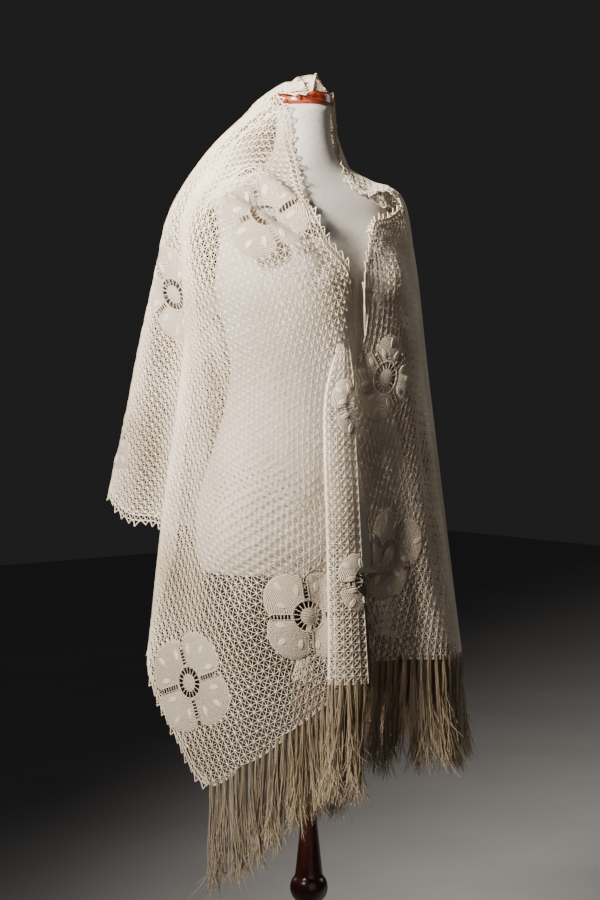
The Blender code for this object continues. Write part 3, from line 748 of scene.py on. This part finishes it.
def joined_mesh(name, points, faces, uv=None):
    mesh = bpy.data.meshes.new(name)
    mesh.from_pydata(np.asarray(points).tolist(), [], faces)
    if uv is not None:
        layer = mesh.uv_layers.new(name="flat")
        loops = np.empty(len(mesh.loops), int)
        mesh.loops.foreach_get("vertex_index", loops)
        layer.data.foreach_set("uv", np.asarray(uv)[loops].astype(np.float32).ravel())
    mesh.update()
    mesh.shade_smooth()
    obj = bpy.data.objects.new(name, mesh)
    bpy.context.collection.objects.link(obj)
    return obj


class Sheaf:
    """Flat points with heights and faces, gathered from many small grids."""

    def __init__(self):
        self.points, self.heights, self.uv, self.faces, self.count = [], [], [], [], 0

    def grid(self, points, heights, around=False, uv=None):
        """Adds a grid of flat points (rows, columns, 2), closed across if it goes around."""
        n, m = points.shape[:2]
        base = self.count
        for i in range(n - 1):
            for j in range(m if around else m - 1):
                a, b = base + i * m + j, base + i * m + (j + 1) % m
                self.faces.append((a, b, b + m, a + m))
        self.points.append(points.reshape(-1, 2))
        self.heights.append(np.broadcast_to(heights, (n, m)).ravel())
        self.uv.append((points if uv is None else uv).reshape(-1, 2))
        self.count += n * m

    def arrays(self):
        return np.concatenate(self.points), np.concatenate(self.heights), np.concatenate(self.uv) * MM


def polar(radius, angle):
    return np.stack([radius * np.cos(angle), radius * np.sin(angle)], axis=-1)


def bar(start, end, wide, lift):
    """A thread between two flat points, as a grid of two rows with a raised middle line."""
    along = (end - start) / np.linalg.norm(end - start)
    side = np.array([-along[1], along[0]]) * wide / 2
    points = np.array([[start - side, start, start + side], [end - side, end, end + side]])
    return points, np.array([[lift, lift + 0.9, lift]] * 2)


def flower(reach):
    """One worked flower: its disc, spokes, band, ladder channels and lobes."""
    sheaf = Sheaf()
    angles = np.arange(DISC_SIDES) / DISC_SIDES * 2 * math.pi
    radius = np.array(DISC_RINGS)[:, None]
    sheaf.grid(polar(radius, angles[None]), 1.8 + 1.4 * np.cos(radius / 12.4 * math.pi / 2), around=True)
    radius = np.array(BAND_RINGS)[:, None]
    sheaf.grid(polar(radius, angles[None]), np.array([[1.2], [2.4], [1.8]]), around=True)
    for k in range(SPOKES):
        angle = k / SPOKES * 2 * math.pi
        sheaf.grid(*bar(polar(SPOKE_ENDS[0], angle), polar(SPOKE_ENDS[1], angle), SPOKE_WIDTH, 1.3))
    columns, rows = LOBE_PARTS
    inner, last = LOBE_START, reach * LOBE_SHAPE["waist"]
    for quarter in range(4):
        turn = quarter * math.pi / 2
        ends = np.linspace(0, 1, rows + 1)
        grid, lift, cloth = [], [], []
        for share in ends:
            line, heights, marks = [], [], []
            for c in range(columns + 1):
                t = c / columns
                raw = math.asin(min(1, CHANNEL_WIDTH / 2 / (inner + share * (last - inner))))
                angle = raw + (math.pi / 2 - 2 * raw) * t
                radius = inner + share * (lobe_edge(angle, reach) - inner)
                line.append(polar(radius, angle + turn))
                puff = math.sin(math.pi * t) ** 0.5 * math.sin(math.pi * (0.06 + 0.94 * share)) ** 0.5
                heights.append(1.3 + 1.1 * puff)
                marks.append((radius * (angle - math.pi / 4), radius))
            grid.append(line)
            lift.append(heights)
            cloth.append(marks)
        lift = np.array(lift)
        lift[-1] = 0.5
        sheaf.grid(np.array(grid), lift, uv=np.array(cloth))
        for k in range(int((last - inner) / RUNG_EVERY)):
            out = inner + 1.6 + k * RUNG_EVERY
            half_wide = CHANNEL_WIDTH / 2 + 0.6
            ends = turned_by(np.array([[out, -half_wide], [out, half_wide]]), turn)
            sheaf.grid(*bar(ends[0], ends[1], RUNG_WIDTH, 1.2))
        for side in (-0.5, 0.5):
            ends = turned_by(np.array([[inner - 1, side * CHANNEL_WIDTH], [last, side * CHANNEL_WIDTH]]), turn)
            sheaf.grid(*bar(ends[0], ends[1], RAIL_WIDTH, RAIL_LIFT))
    return sheaf


def leaf():
    """An almond leaf with a middle rib."""
    parts = 10
    across = np.array([-1, -0.86, -0.5, -0.13, 0.13, 0.5, 0.86, 1])
    t = np.linspace(0, 1, parts + 1)[:, None]
    half = LEAF["wide"] / 2 * np.sin(math.pi * t) ** 0.75 + 0.05
    points = np.stack([(t - 0.5) * LEAF["long"] + 0 * across, across * half], axis=-1)
    crown = (1 - np.abs(across) ** 2.4) * np.sin(math.pi * t) ** 0.5
    rib = np.where((np.abs(across) < 0.2) & (t > 0.08) & (t < 0.92), -0.8, 0)
    sheaf = Sheaf()
    sheaf.grid(points, LEAF["tall"] * crown + rib)
    return sheaf


def merged(pieces):
    """Many sheaves, each set at its own place and turn, as one."""
    points, heights, uvs, faces, start = [], [], [], [], 0
    for sheaf, middle, turn, lift in pieces:
        flat, height, uv = sheaf.arrays()
        points.append(middle + turned_by(flat, turn))
        heights.append(height + lift)
        uvs.append(uv)
        faces += [tuple(i + start for i in face) for face in sheaf.faces]
        start += len(flat)
    return np.concatenate(points), np.concatenate(heights), np.concatenate(uvs), faces


def make_flowers(name, flowers, grain, put, within):
    """These flowers and their leaves as two joined meshes, without what lies outside the cloth."""
    bodies, leaves = [], []
    for number, (middle, turn, reach) in enumerate(flowers):
        bodies.append((flower(reach), middle, grain + turn, 0))
        for quarter in range(4):
            for k, (out, off, lean) in enumerate(LEAVES):
                angle = grain + turn + math.radians(45 + 90 * quarter + off + 4 * math.sin(3 * number + quarter + k))
                far = out * (1 + 0.05 * math.sin(5 * number + 2 * quarter + 3 * k)) * reach
                leaves.append((leaf(), middle + polar(far, angle), angle + math.radians(lean), LEAF_LIFT))
    made = []
    for part, pieces in (("", bodies), ("_leaves", leaves)):
        points, heights, uv, faces = merged(pieces)
        kept = within(points)
        faces = [face for face in faces if kept[list(face)].all()]
        used = np.zeros(len(points), int)
        used[np.unique([i for face in faces for i in face])] = 1
        number = np.cumsum(used) - 1
        faces = [tuple(int(number[i]) for i in face) for face in faces]
        chosen = used > 0
        made.append(joined_mesh(name + part, put(points[chosen], heights[chosen]), faces, uv[chosen]))
    return made


def node_material(name):
    made = bpy.data.materials.new(name)
    made.use_nodes = True
    return made, made.node_tree.nodes, made.node_tree.links, made.node_tree.nodes["Principled BSDF"]


def add_node(nodes, kind, **values):
    made = nodes.new(kind)
    for key, value in values.items():
        if key in made.inputs:
            made.inputs[key].default_value = value
        else:
            setattr(made, key, value)
    return made


def ramped(nodes, links, factor, shader, stops):
    """Colours the shader through a ramp of (position, colour) stops."""
    ramp = nodes.new("ShaderNodeValToRGB")
    for element, (position, colour) in zip(ramp.color_ramp.elements, stops):
        element.position = position
        element.color = (*colour, 1)
    links.new(factor, ramp.inputs["Fac"])
    links.new(ramp.outputs["Color"], shader.inputs["Base Color"])


def bumped(nodes, links, height, shader, strength, distance):
    bump = add_node(nodes, "ShaderNodeBump", Strength=strength, Distance=distance)
    links.new(height, bump.inputs["Height"])
    links.new(bump.outputs["Normal"], shader.inputs["Normal"])


def thread_material(name, dark, light, stitch=900, bump=0.5, rings=False, rough=0.8):
    """Crochet thread: uneven ecru with a fine twisted stitch; with rings, the worked rows' relief also darkens their
    hollows as painted shade.
    """
    made, nodes, links, shader = node_material(name)
    where = nodes.new("ShaderNodeTexCoord")
    blotch = add_node(nodes, "ShaderNodeTexNoise", Scale=9.0, Detail=4.0)
    fine = add_node(nodes, "ShaderNodeTexNoise", Scale=stitch, Detail=3.0)
    links.new(where.outputs["Object"], blotch.inputs["Vector"])
    links.new(where.outputs["Object"], fine.inputs["Vector"])
    mixed = add_node(nodes, "ShaderNodeMath", operation="MULTIPLY_ADD")
    links.new(fine.outputs["Fac"], mixed.inputs[0])
    mixed.inputs[1].default_value = 0.5
    links.new(blotch.outputs["Fac"], mixed.inputs[2])
    ramped(nodes, links, mixed.outputs[0], shader, ((0.45, dark), (0.95, light)))
    height = fine.outputs["Fac"]
    if rings:
        flat = nodes.new("ShaderNodeUVMap")
        rows = add_node(nodes, "ShaderNodeTexWave", bands_direction="Y", Scale=140.0, Distortion=0.6)
        links.new(flat.outputs["UV"], rows.inputs["Vector"])
        stitches = add_node(nodes, "ShaderNodeTexVoronoi", Scale=620.0)
        links.new(flat.outputs["UV"], stitches.inputs["Vector"])
        both = add_node(nodes, "ShaderNodeMath", operation="ADD")
        links.new(rows.outputs["Fac"], both.inputs[0])
        links.new(stitches.outputs["Distance"], both.inputs[1])
        height = both.outputs[0]
        # The height of the rows and stitches also sets the colour: painted shade, darker in their low hollows and
        # lighter on their raised parts.
        shade = add_node(nodes, "ShaderNodeMath", operation="MULTIPLY_ADD")
        links.new(height, shade.inputs[0])
        shade.inputs[1].default_value = 0.34
        links.new(mixed.outputs[0], shade.inputs[2])
        links.new(shade.outputs[0], nodes["Color Ramp"].inputs["Fac"])
    bumped(nodes, links, height, shader, bump, 0.0006 if not rings else 0.0012)
    shader.inputs["Roughness"].default_value = rough
    shader.inputs["Sheen Weight"].default_value = 0.2
    shader.inputs["Sheen Roughness"].default_value = 0.4
    shader.inputs["Specular IOR Level"].default_value = 0.3
    return made


def silk_material():
    """Silky strands: each has its own tone, and their worn ends are lighter."""
    made, nodes, links, shader = node_material("silky strands")
    flat = nodes.new("ShaderNodeUVMap")
    parts = nodes.new("ShaderNodeSeparateXYZ")
    links.new(flat.outputs["UV"], parts.inputs[0])
    pale = add_node(nodes, "ShaderNodeMath", operation="POWER")
    links.new(parts.outputs["Y"], pale.inputs[0])
    pale.inputs[1].default_value = 3.0
    tone = add_node(nodes, "ShaderNodeMath", operation="MULTIPLY_ADD")
    links.new(pale.outputs[0], tone.inputs[0])
    tone.inputs[1].default_value = 0.45
    links.new(parts.outputs["X"], tone.inputs[2])
    ramped(nodes, links, tone.outputs[0], shader, ((0.0, (0.105, 0.060, 0.024)), (1.0, (0.62, 0.49, 0.315))))
    where = nodes.new("ShaderNodeTexCoord")
    twist = add_node(nodes, "ShaderNodeTexNoise", Scale=700.0, Detail=2.0)
    links.new(where.outputs["Object"], twist.inputs["Vector"])
    bumped(nodes, links, twist.outputs["Fac"], shader, 0.25, 0.0003)
    shader.inputs["Roughness"].default_value = 0.38
    shader.inputs["Anisotropic"].default_value = 0.4
    shader.inputs["Sheen Weight"].default_value = 0.35
    return made


def linen_material():
    made, nodes, links, shader = node_material("linen weave")
    where = nodes.new("ShaderNodeTexCoord")
    heights = []
    for axis, scale in (("X", 420.0), ("Z", 460.0)):
        wave = add_node(nodes, "ShaderNodeTexWave", bands_direction=axis, Scale=scale, Distortion=1.2, Detail=2.0)
        wave.inputs["Detail Scale"].default_value = 2.0
        links.new(where.outputs["Object"], wave.inputs["Vector"])
        heights.append(wave.outputs["Fac"])
    both = add_node(nodes, "ShaderNodeMath", operation="ADD")
    links.new(heights[0], both.inputs[0])
    links.new(heights[1], both.inputs[1])
    slub = add_node(nodes, "ShaderNodeTexNoise", Scale=260.0, Detail=5.0, Roughness=0.7)
    links.new(where.outputs["Object"], slub.inputs["Vector"])
    ramped(nodes, links, slub.outputs["Fac"], shader, ((0.3, (0.45, 0.41, 0.36)), (0.7, (0.63, 0.59, 0.53))))
    bumped(nodes, links, both.outputs[0], shader, 0.35, 0.0004)
    shader.inputs["Roughness"].default_value = 0.88
    shader.inputs["Sheen Weight"].default_value = 0.15
    return made


def wood_material(name, dark, light, stretch, scale, rough, coat):
    made, nodes, links, shader = node_material(name)
    where = nodes.new("ShaderNodeTexCoord")
    shape = nodes.new("ShaderNodeMapping")
    shape.inputs["Scale"].default_value = stretch
    links.new(where.outputs["Object"], shape.inputs["Vector"])
    grain = add_node(nodes, "ShaderNodeTexNoise", Scale=scale, Detail=8.0, Roughness=0.65, Distortion=0.6)
    links.new(shape.outputs["Vector"], grain.inputs["Vector"])
    ramped(nodes, links, grain.outputs["Fac"], shader, ((0.38, dark), (0.62, light)))
    bumped(nodes, links, grain.outputs["Fac"], shader, 0.12, 0.0004)
    shader.inputs["Roughness"].default_value = rough
    shader.inputs["Coat Weight"].default_value = coat
    shader.inputs["Coat Roughness"].default_value = 0.12
    return made


def edge_line(surface, normal, first, last, bottom):
    """A stretch of the shawl's edge: way along it, places, outward directions and normals."""
    u = np.linspace(first * FINE_ACROSS, last * FINE_ACROSS, int((last - first) * 14) + 1)
    edge, inside = (FINE_DOWN, FINE_DOWN - 2) if bottom else (0, 2)
    here = look_up(surface, u, np.full(len(u), float(edge)))
    away = unit(here - look_up(surface, u, np.full(len(u), float(inside))))
    face = look_up(normal, u, np.full(len(u), float(edge)))
    way = way_along(here)
    return way, here, away, face


def picked(values, way, s):
    return np.stack([np.interp(s, way, values[:, k]) for k in range(3)], axis=1)


def along_edge(line, s, out, height):
    way, here, away, face = line
    out, height = np.broadcast_to(out, s.shape), np.broadcast_to(height, s.shape)
    return (picked(here, way, s) + picked(away, way, s) * out[:, None] + picked(face, way, s) * height[:, None]) * MM


def edging(name, lines):
    """Two chains with a zigzag of eyelets between them, and a row of picots outside."""
    curve = bpy.data.curves.new(name, "CURVE")
    curve.dimensions = "3D"
    curve.bevel_depth = TRIM_THICK * MM
    curve.bevel_resolution = 1
    curve.use_fill_caps = True
    shape = np.array(PICOT_SHAPE)
    for line in lines:
        long = line[0][-1]
        s = np.append(np.arange(0, long, CHAIN_STEP), long)
        rows = [along_edge(line, s, out, CHAIN_LIFT) for out in (-EDGE_BAND, -OUTER_CHAIN_IN)]
        count = int(long / EYELET_EVERY)
        s = (np.arange(count) + 0.5) * long / count
        rows.append(along_edge(line, s, np.where(np.arange(count) % 2, -1.5, 0.1 - EDGE_BAND), EYELET_LIFT))
        count = max(2, int(long / PICOT_EVERY))
        s = ((np.arange(count)[:, None] + shape[:, 0]) * long / count).ravel()
        out = np.tile(shape[:, 1], count)
        lean = np.sin(np.repeat(np.arange(count), len(shape)) * 2.4) * np.clip(out / 5, 0, 1.4)
        rows.append(along_edge(line, s + lean, out * (1 + 0.12 * lean), CHAIN_LIFT + 1.4 * lean))
        for points in rows:
            spline = curve.splines.new("POLY")
            spline.points.add(len(points) - 1)
            spline.points.foreach_set("co", np.column_stack([points, np.ones(len(points))]).ravel())
    obj = bpy.data.objects.new(name, curve)
    bpy.context.collection.objects.link(obj)
    bpy.ops.object.select_all(action="DESELECT")
    obj.select_set(True)
    bpy.context.view_layer.objects.active = obj
    bpy.ops.object.convert(target="MESH")
    obj = bpy.context.object
    obj.data.shade_smooth()
    return obj


def fringe(name, roots, length, seed):
    """Bunches of fine strands that hang from the roots, as one joined mesh."""
    random = np.random.default_rng(seed)
    t = np.linspace(0, 1, STRAND_STEPS + 1)[:, None]
    turns = np.arange(STRAND_SIDES) / STRAND_SIDES * 2 * math.pi
    points, tones, faces = [], [], []
    ring = np.arange(STRAND_SIDES)
    quads = []
    for k in range(STRAND_STEPS):
        for j in ring:
            a, b = STRAND_SIDES * k + j, STRAND_SIDES * k + (j + 1) % STRAND_SIDES
            quads.append((int(a), int(b), int(b + STRAND_SIDES), int(a + STRAND_SIDES)))
    down = np.array([0, 0, -1.0])
    for number, (root, side, away) in enumerate(roots):
        together = 7.5 * (1 - number % 3)
        sway = 8 * math.sin(0.37 * number + seed) + together + random.normal(0, 2)
        sway_out = 7 * math.sin(0.53 * number + seed) + random.normal(0, 3)
        lock_long = length * (1 + 0.05 * math.sin(2.3 * number) + 0.04 * math.sin(5.1 * number + 1))
        lock_tone = random.uniform(-0.07, 0.07)
        for _ in range(STRANDS):
            a, r = random.uniform(0, 2 * math.pi), math.sqrt(random.uniform(0, 1))
            off = side * LOCK_ROUND[0] * r * math.cos(a) + away * LOCK_ROUND[1] * r * math.sin(a)
            fan = random.uniform(0.2, 1.6)
            shares = [random.uniform(0.86, 1.04), random.uniform(0.55, 1.0)]
            long = lock_long * random.choice(shares, p=[1 - SHORT_STRANDS, SHORT_STRANDS])
            drift = side * random.normal(sway, STRAND_DRIFT[0]) + away * random.normal(sway_out, STRAND_DRIFT[1])
            curl = side * random.normal(0, STRAND_CURL[0]) + away * random.normal(0, STRAND_CURL[1])
            phase, pace = random.uniform(0, 6.3, 2), random.uniform(5, 12, 2)
            wave = side * np.sin(phase[0] + pace[0] * t) * random.uniform(WAVE_LEAST, WAVE_MOST[0])
            wave = wave + away * np.sin(phase[1] + pace[1] * t) * random.uniform(WAVE_LEAST, WAVE_MOST[1])
            knot = 0.5 + 0.5 * np.clip(np.abs(t - 0.04) * 14, 0, 1)
            line = root + off * knot * (1 + fan * t) + drift * t**1.6 + wave * t**0.8
            line = line + curl * np.clip((t - 0.72) / 0.28, 0, 1) ** 2 + down * long * t
            thin = random.uniform(0.4, 0.6) * np.where(t > 0.99, 0.4, 1)
            tube = line[:, None] + (side * np.cos(turns)[:, None] + away * np.sin(turns)[:, None]) * thin[:, None]
            first = len(points) * len(t) * STRAND_SIDES
            faces += [tuple(i + first for i in quad) for quad in quads]
            points.append(tube.reshape(-1, 3))
            tone = np.clip(random.normal(0.36, 0.16) + lock_tone, 0.02, 0.9)
            tones.append(np.column_stack([np.full(t.size * STRAND_SIDES, tone), np.repeat(t, STRAND_SIDES)]))
    return joined_mesh(name, np.concatenate(points) * MM, faces, np.concatenate(tones))


def hem_roots(hem, normal):
    """Evenly spaced places along a hem, with the level directions along it and away from it."""
    way = way_along(hem)
    count = int(way[-1] / LOCK_EVERY)
    s = (np.arange(count) + 0.5) * way[-1] / count
    here, along, face = picked(hem, way, s), picked(hem, way, s + 3) - picked(hem, way, s - 3), picked(normal, way, s)
    roots = []
    for k in range(count):
        side = along[k] * [1, 1, 0]
        side /= np.linalg.norm(side)
        away = np.cross(side, [0, 0, 1.0])
        roots.append((here[k] + [0, 0, ROOT_LIFT], side, away if away @ face[k] > 0 else -away))
    return roots


def smooth_form(points):
    """The form at a finer grain than its solid, closed above and below."""
    obj = joined_mesh("linen_form", points.reshape(-1, 3) * MM, ring_faces(len(points), points.shape[1]))
    obj.data.polygons.foreach_set("use_smooth", [len(p.vertices) == 4 for p in obj.data.polygons])
    return obj


def turned(name, profile, set_back=0):
    """A turned piece from its profile of radius and height, between its flat ends."""
    rings = spread(np.array(profile[1:-1], float)[:, None, :], 4)[:, 0]
    angles = np.arange(TURNED_SIDES) / TURNED_SIDES * 2 * math.pi
    points = [[(r * math.cos(a), r * math.sin(a) + set_back, z) for a in angles] for r, z in rings]
    obj = joined_mesh(name, np.array(points).reshape(-1, 3) * MM, ring_faces(len(rings), TURNED_SIDES))
    obj.data.set_sharp_from_angle(angle=math.radians(50))
    return obj


class Strip:
    """A strip of cloth whose grid lies flat by itself: rows run down and columns across."""

    def __init__(self, grid, facing):
        self.grid, self.normal = grid, normals_of(grid) * facing
        self.across = np.append(0, np.cumsum(np.linalg.norm(np.diff(grid, axis=1), axis=2).mean(axis=0)))
        self.down = np.append(0, np.cumsum(np.linalg.norm(np.diff(grid, axis=0), axis=2).mean(axis=1)))
        self.size = np.array([self.across[-1], self.down[-1]])

    def draped(self, flat, lift):
        v = np.interp(flat[:, 0], self.across, range(len(self.across)))
        u = np.interp(flat[:, 1], self.down, range(len(self.down)))
        away = unit(look_up(self.normal, u, v))
        return (look_up(self.grid, u, v) + away * np.asarray(lift)[:, None]) * MM

    def within(self, flat):
        return ((flat >= 0) & (flat <= self.size)).all(axis=1)


def tucked(grid):
    """The folded band with its top end let into the cloth behind it."""
    sunk = TUCK_DEEP * np.clip(1 - np.arange(len(grid)) / TUCK_ROWS, 0, 1) ** 2
    return grid - normals_of(grid)[:, :1].mean(axis=0) * sunk[:, None, None]


def strip_net(name, strip, flowers):
    cells = np.round(strip.size / CELL)
    obj = lattice(name, np.zeros(2), strip.size, strip.size / cells)
    drop_faces(obj, in_flowers(face_centres(obj.data)[:, :2], flowers, 0))
    knots, cells = len(obj.data.vertices), len(obj.data.polygons)
    open_net(obj, THREAD)
    points = coordinates(obj.data)
    set_coordinates(obj.data, strip.draped(points[:, :2], thread_heights(len(points), knots, cells)))
    obj.data.shade_smooth()
    return obj


def roll_turning(surface, normal, tree):
    """The part of the left shoulder's rolled edge that is turned in under it."""
    u = np.linspace(ROLL_GUIDES[0] * FINE_ACROSS, ROLL_GUIDES[1] * FINE_ACROSS, ROLL_COLUMNS)
    edge, inside = look_up(surface, u, np.zeros(len(u))), look_up(surface, u, np.full(len(u), 2.0))
    back = unit(inside - edge)
    face = look_up(normal, u, np.zeros(len(u)))
    fade = np.sin(np.linspace(0.05, 0.95, ROLL_COLUMNS) * math.pi)[:, None] ** 0.5
    rows = []
    for t in np.linspace(0, 1, ROLL_ROWS):
        rows.append(edge + fade * (back * ROLL_BACK * t**2 - face * ROLL_DEEP * math.sin(t * math.pi / 2)))
    return kept_clear(np.array(rows), tree)


def dressed(obj, made, slot, *nodes):
    obj.data.materials.append(made)
    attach(obj, "root")
    if nodes:
        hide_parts(*nodes)


def camera_and_light():
    azimuth = math.radians(CAMERA["azimuth"])
    back = Vector((math.sin(azimuth), -math.cos(azimuth), 0))
    right = Vector((math.cos(azimuth), math.sin(azimuth), 0))
    camera = bpy.data.objects.new("camera", bpy.data.cameras.new("camera"))
    bpy.context.collection.objects.link(camera)
    camera.location = back * CAMERA["far"] + Vector((0, 0, CAMERA["eye"])) - right * CAMERA["leftward"]
    target = Vector((0, 0, CAMERA["aimed_at"])) - right * CAMERA["leftward"]
    camera.rotation_euler = (camera.location - target).to_track_quat("Z", "Y").to_euler()
    camera.data.sensor_fit = "VERTICAL"
    camera.data.sensor_height = 24
    camera.data.lens = camera.data.sensor_height / 2 / math.tan(math.radians(CAMERA["tall_angle"]) / 2)
    bpy.context.scene.camera = camera
    for name, place, aim, power, size, spread_angle, colour in LIGHTS:
        light = bpy.data.objects.new(name, bpy.data.lights.new(name, "AREA"))
        light.data.energy = power
        light.data.size = size
        light.data.spread = math.radians(spread_angle)
        light.data.color = colour
        nearer, rightward, up = place
        light.location = back * nearer + right * rightward + Vector((0, 0, up))
        light.rotation_euler = (light.location - Vector((0, 0, aim))).to_track_quat("Z", "Y").to_euler()
        bpy.context.collection.objects.link(light)
    sky = bpy.data.worlds.new("studio")
    sky.use_nodes = True
    sky.node_tree.nodes["Background"].inputs["Color"].default_value = (*BACKDROP, 1)
    sky.node_tree.nodes["Background"].inputs["Strength"].default_value = 1.0
    bpy.context.scene.world = sky
    bpy.ops.mesh.primitive_plane_add(size=14)
    floor = bpy.context.object
    floor.name = "floor"
    made, nodes, links, shader = node_material("floor")
    where = nodes.new("ShaderNodeTexCoord")
    noise = add_node(nodes, "ShaderNodeTexNoise", Scale=3.0, Detail=3.0)
    links.new(where.outputs["Object"], noise.inputs["Vector"])
    ramped(nodes, links, noise.outputs["Fac"], shader, ((0.3, (0.50, 0.50, 0.50)), (0.7, (0.55, 0.55, 0.55))))
    shader.inputs["Roughness"].default_value = 0.9
    floor.data.materials.append(made)


def main():
    camera_and_light()
    form = form_points()
    tree = clearance_tree(form)
    surface, normal = cape_surface(tree)

    lace = thread_material("lace thread", (0.49, 0.385, 0.265), (0.84, 0.73, 0.58))
    worked = thread_material("worked flower", (0.25, 0.185, 0.12), (0.60, 0.50, 0.38), rings=True, bump=0.9)
    raised = thread_material("raised leaf", (0.50, 0.41, 0.30), (0.80, 0.70, 0.57), stitch=1500)
    silk = silk_material()

    stand_ins = {
        "right": ("right_front", "right_sleeve", "hood", "back"),
        "left": ("left_side", "left_flank", "left_front", "shoulder_roll"),
    }
    flower_nodes = {
        "right": ("shoulder", "sleeve", "sleeve_low", "corner", "front_low", "back"),
        "left": ("left_up", "left_low", "side"),
    }
    trims = {"right": ((0, 16, False), (4, 16, True)), "left": ((16, 32, False), (16, 18, True))}
    for number, side in enumerate(HALVES):
        half = make_half(side, surface, normal)
        flowers = [(half["at"](g, s)[0], turn, reach) for where, g, s, turn, reach in FLOWERS if where == side]
        net = make_net(side + "_lace", half, flowers, 3 + number)
        within = lambda points, layout=half["whole"]: layout.nearest(points)[1] < 0.5
        body, leaves = make_flowers(side + "_flowers", flowers, half["grain"], half["whole"].draped, within)
        trim = edging(side + "_picots", [edge_line(surface, normal, *stretch) for stretch in trims[side]])
        dressed(net, lace, "lace", *stand_ins[side])
        dressed(body, worked, "flower", *["flower_" + name for name in flower_nodes[side]])
        dressed(leaves, raised, "flower")
        dressed(trim, lace, "lace")
        pieces = [body, leaves, trim]
        if side == "left":
            pieces.append(strip_net("roll_lace", Strip(roll_turning(surface, normal, tree), 1), []))
            dressed(pieces[-1], lace, "lace")
        size = half["whole"].size() * MM
        half["whole"].area() * MM * MM

    band = Strip(tucked(spread(fold_grid(*FOLD_GRID), 2)), 1)
    flowers = [(np.array([across, down], float), turn, reach) for across, down, turn, reach in FOLD_FLOWERS]
    net = strip_net("fold_lace", band, flowers)
    body, leaves = make_flowers("fold_flowers", flowers, 0, band.draped, band.within)
    dressed(net, lace, "lace", "front_fold")
    dressed(body, worked, "flower")
    dressed(leaves, raised, "flower")
    size = band.size * MM

    pleat = Strip(pleat_grid(surface[0], normal[0], *PLEAT_GRID), 1)
    net = strip_net("pleat_lace", pleat, [])
    dressed(net, lace, "lace", "inner_pleat")
    size = pleat.size * MM

    for number, (name, node, first, last, length) in enumerate(FRINGES):
        if first is None:
            strip = band if node == "fringe_front_fold" else pleat
            hem, face = strip.grid[-1], strip.normal[-1]
        else:
            stretch = slice(first * FINE_ACROSS, last * FINE_ACROSS + 1)
            hem, face = surface[stretch, -1], normal[stretch, -1]
        dressed(fringe(name, hem_roots(hem, face), length, 11 + number), silk, "fringe", node)

    dressed(smooth_form(form), linen_material(), "linen", "dress_form")
    cherry = wood_material("cherry varnish", (0.13, 0.013, 0.006), (0.46, 0.065, 0.02), (12, 12, 90), 3.0, 0.32, 0.6)
    mahogany = wood_material(
        "mahogany varnish", (0.018, 0.004, 0.003), (0.085, 0.018, 0.012), (26, 26, 3), 3.0, 0.3, 0.7
    )
    dressed(turned("cap_wood", CAP_PROFILE, CAP_SET_BACK), cherry, "cherry", "neck_cap")
    dressed(turned("pole_wood", POLE_PROFILE), mahogany, "mahogany", "stand_pole")
    dressed(turned("base_wood", BASE_PROFILE), mahogany, "mahogany", "stand_base")


main()
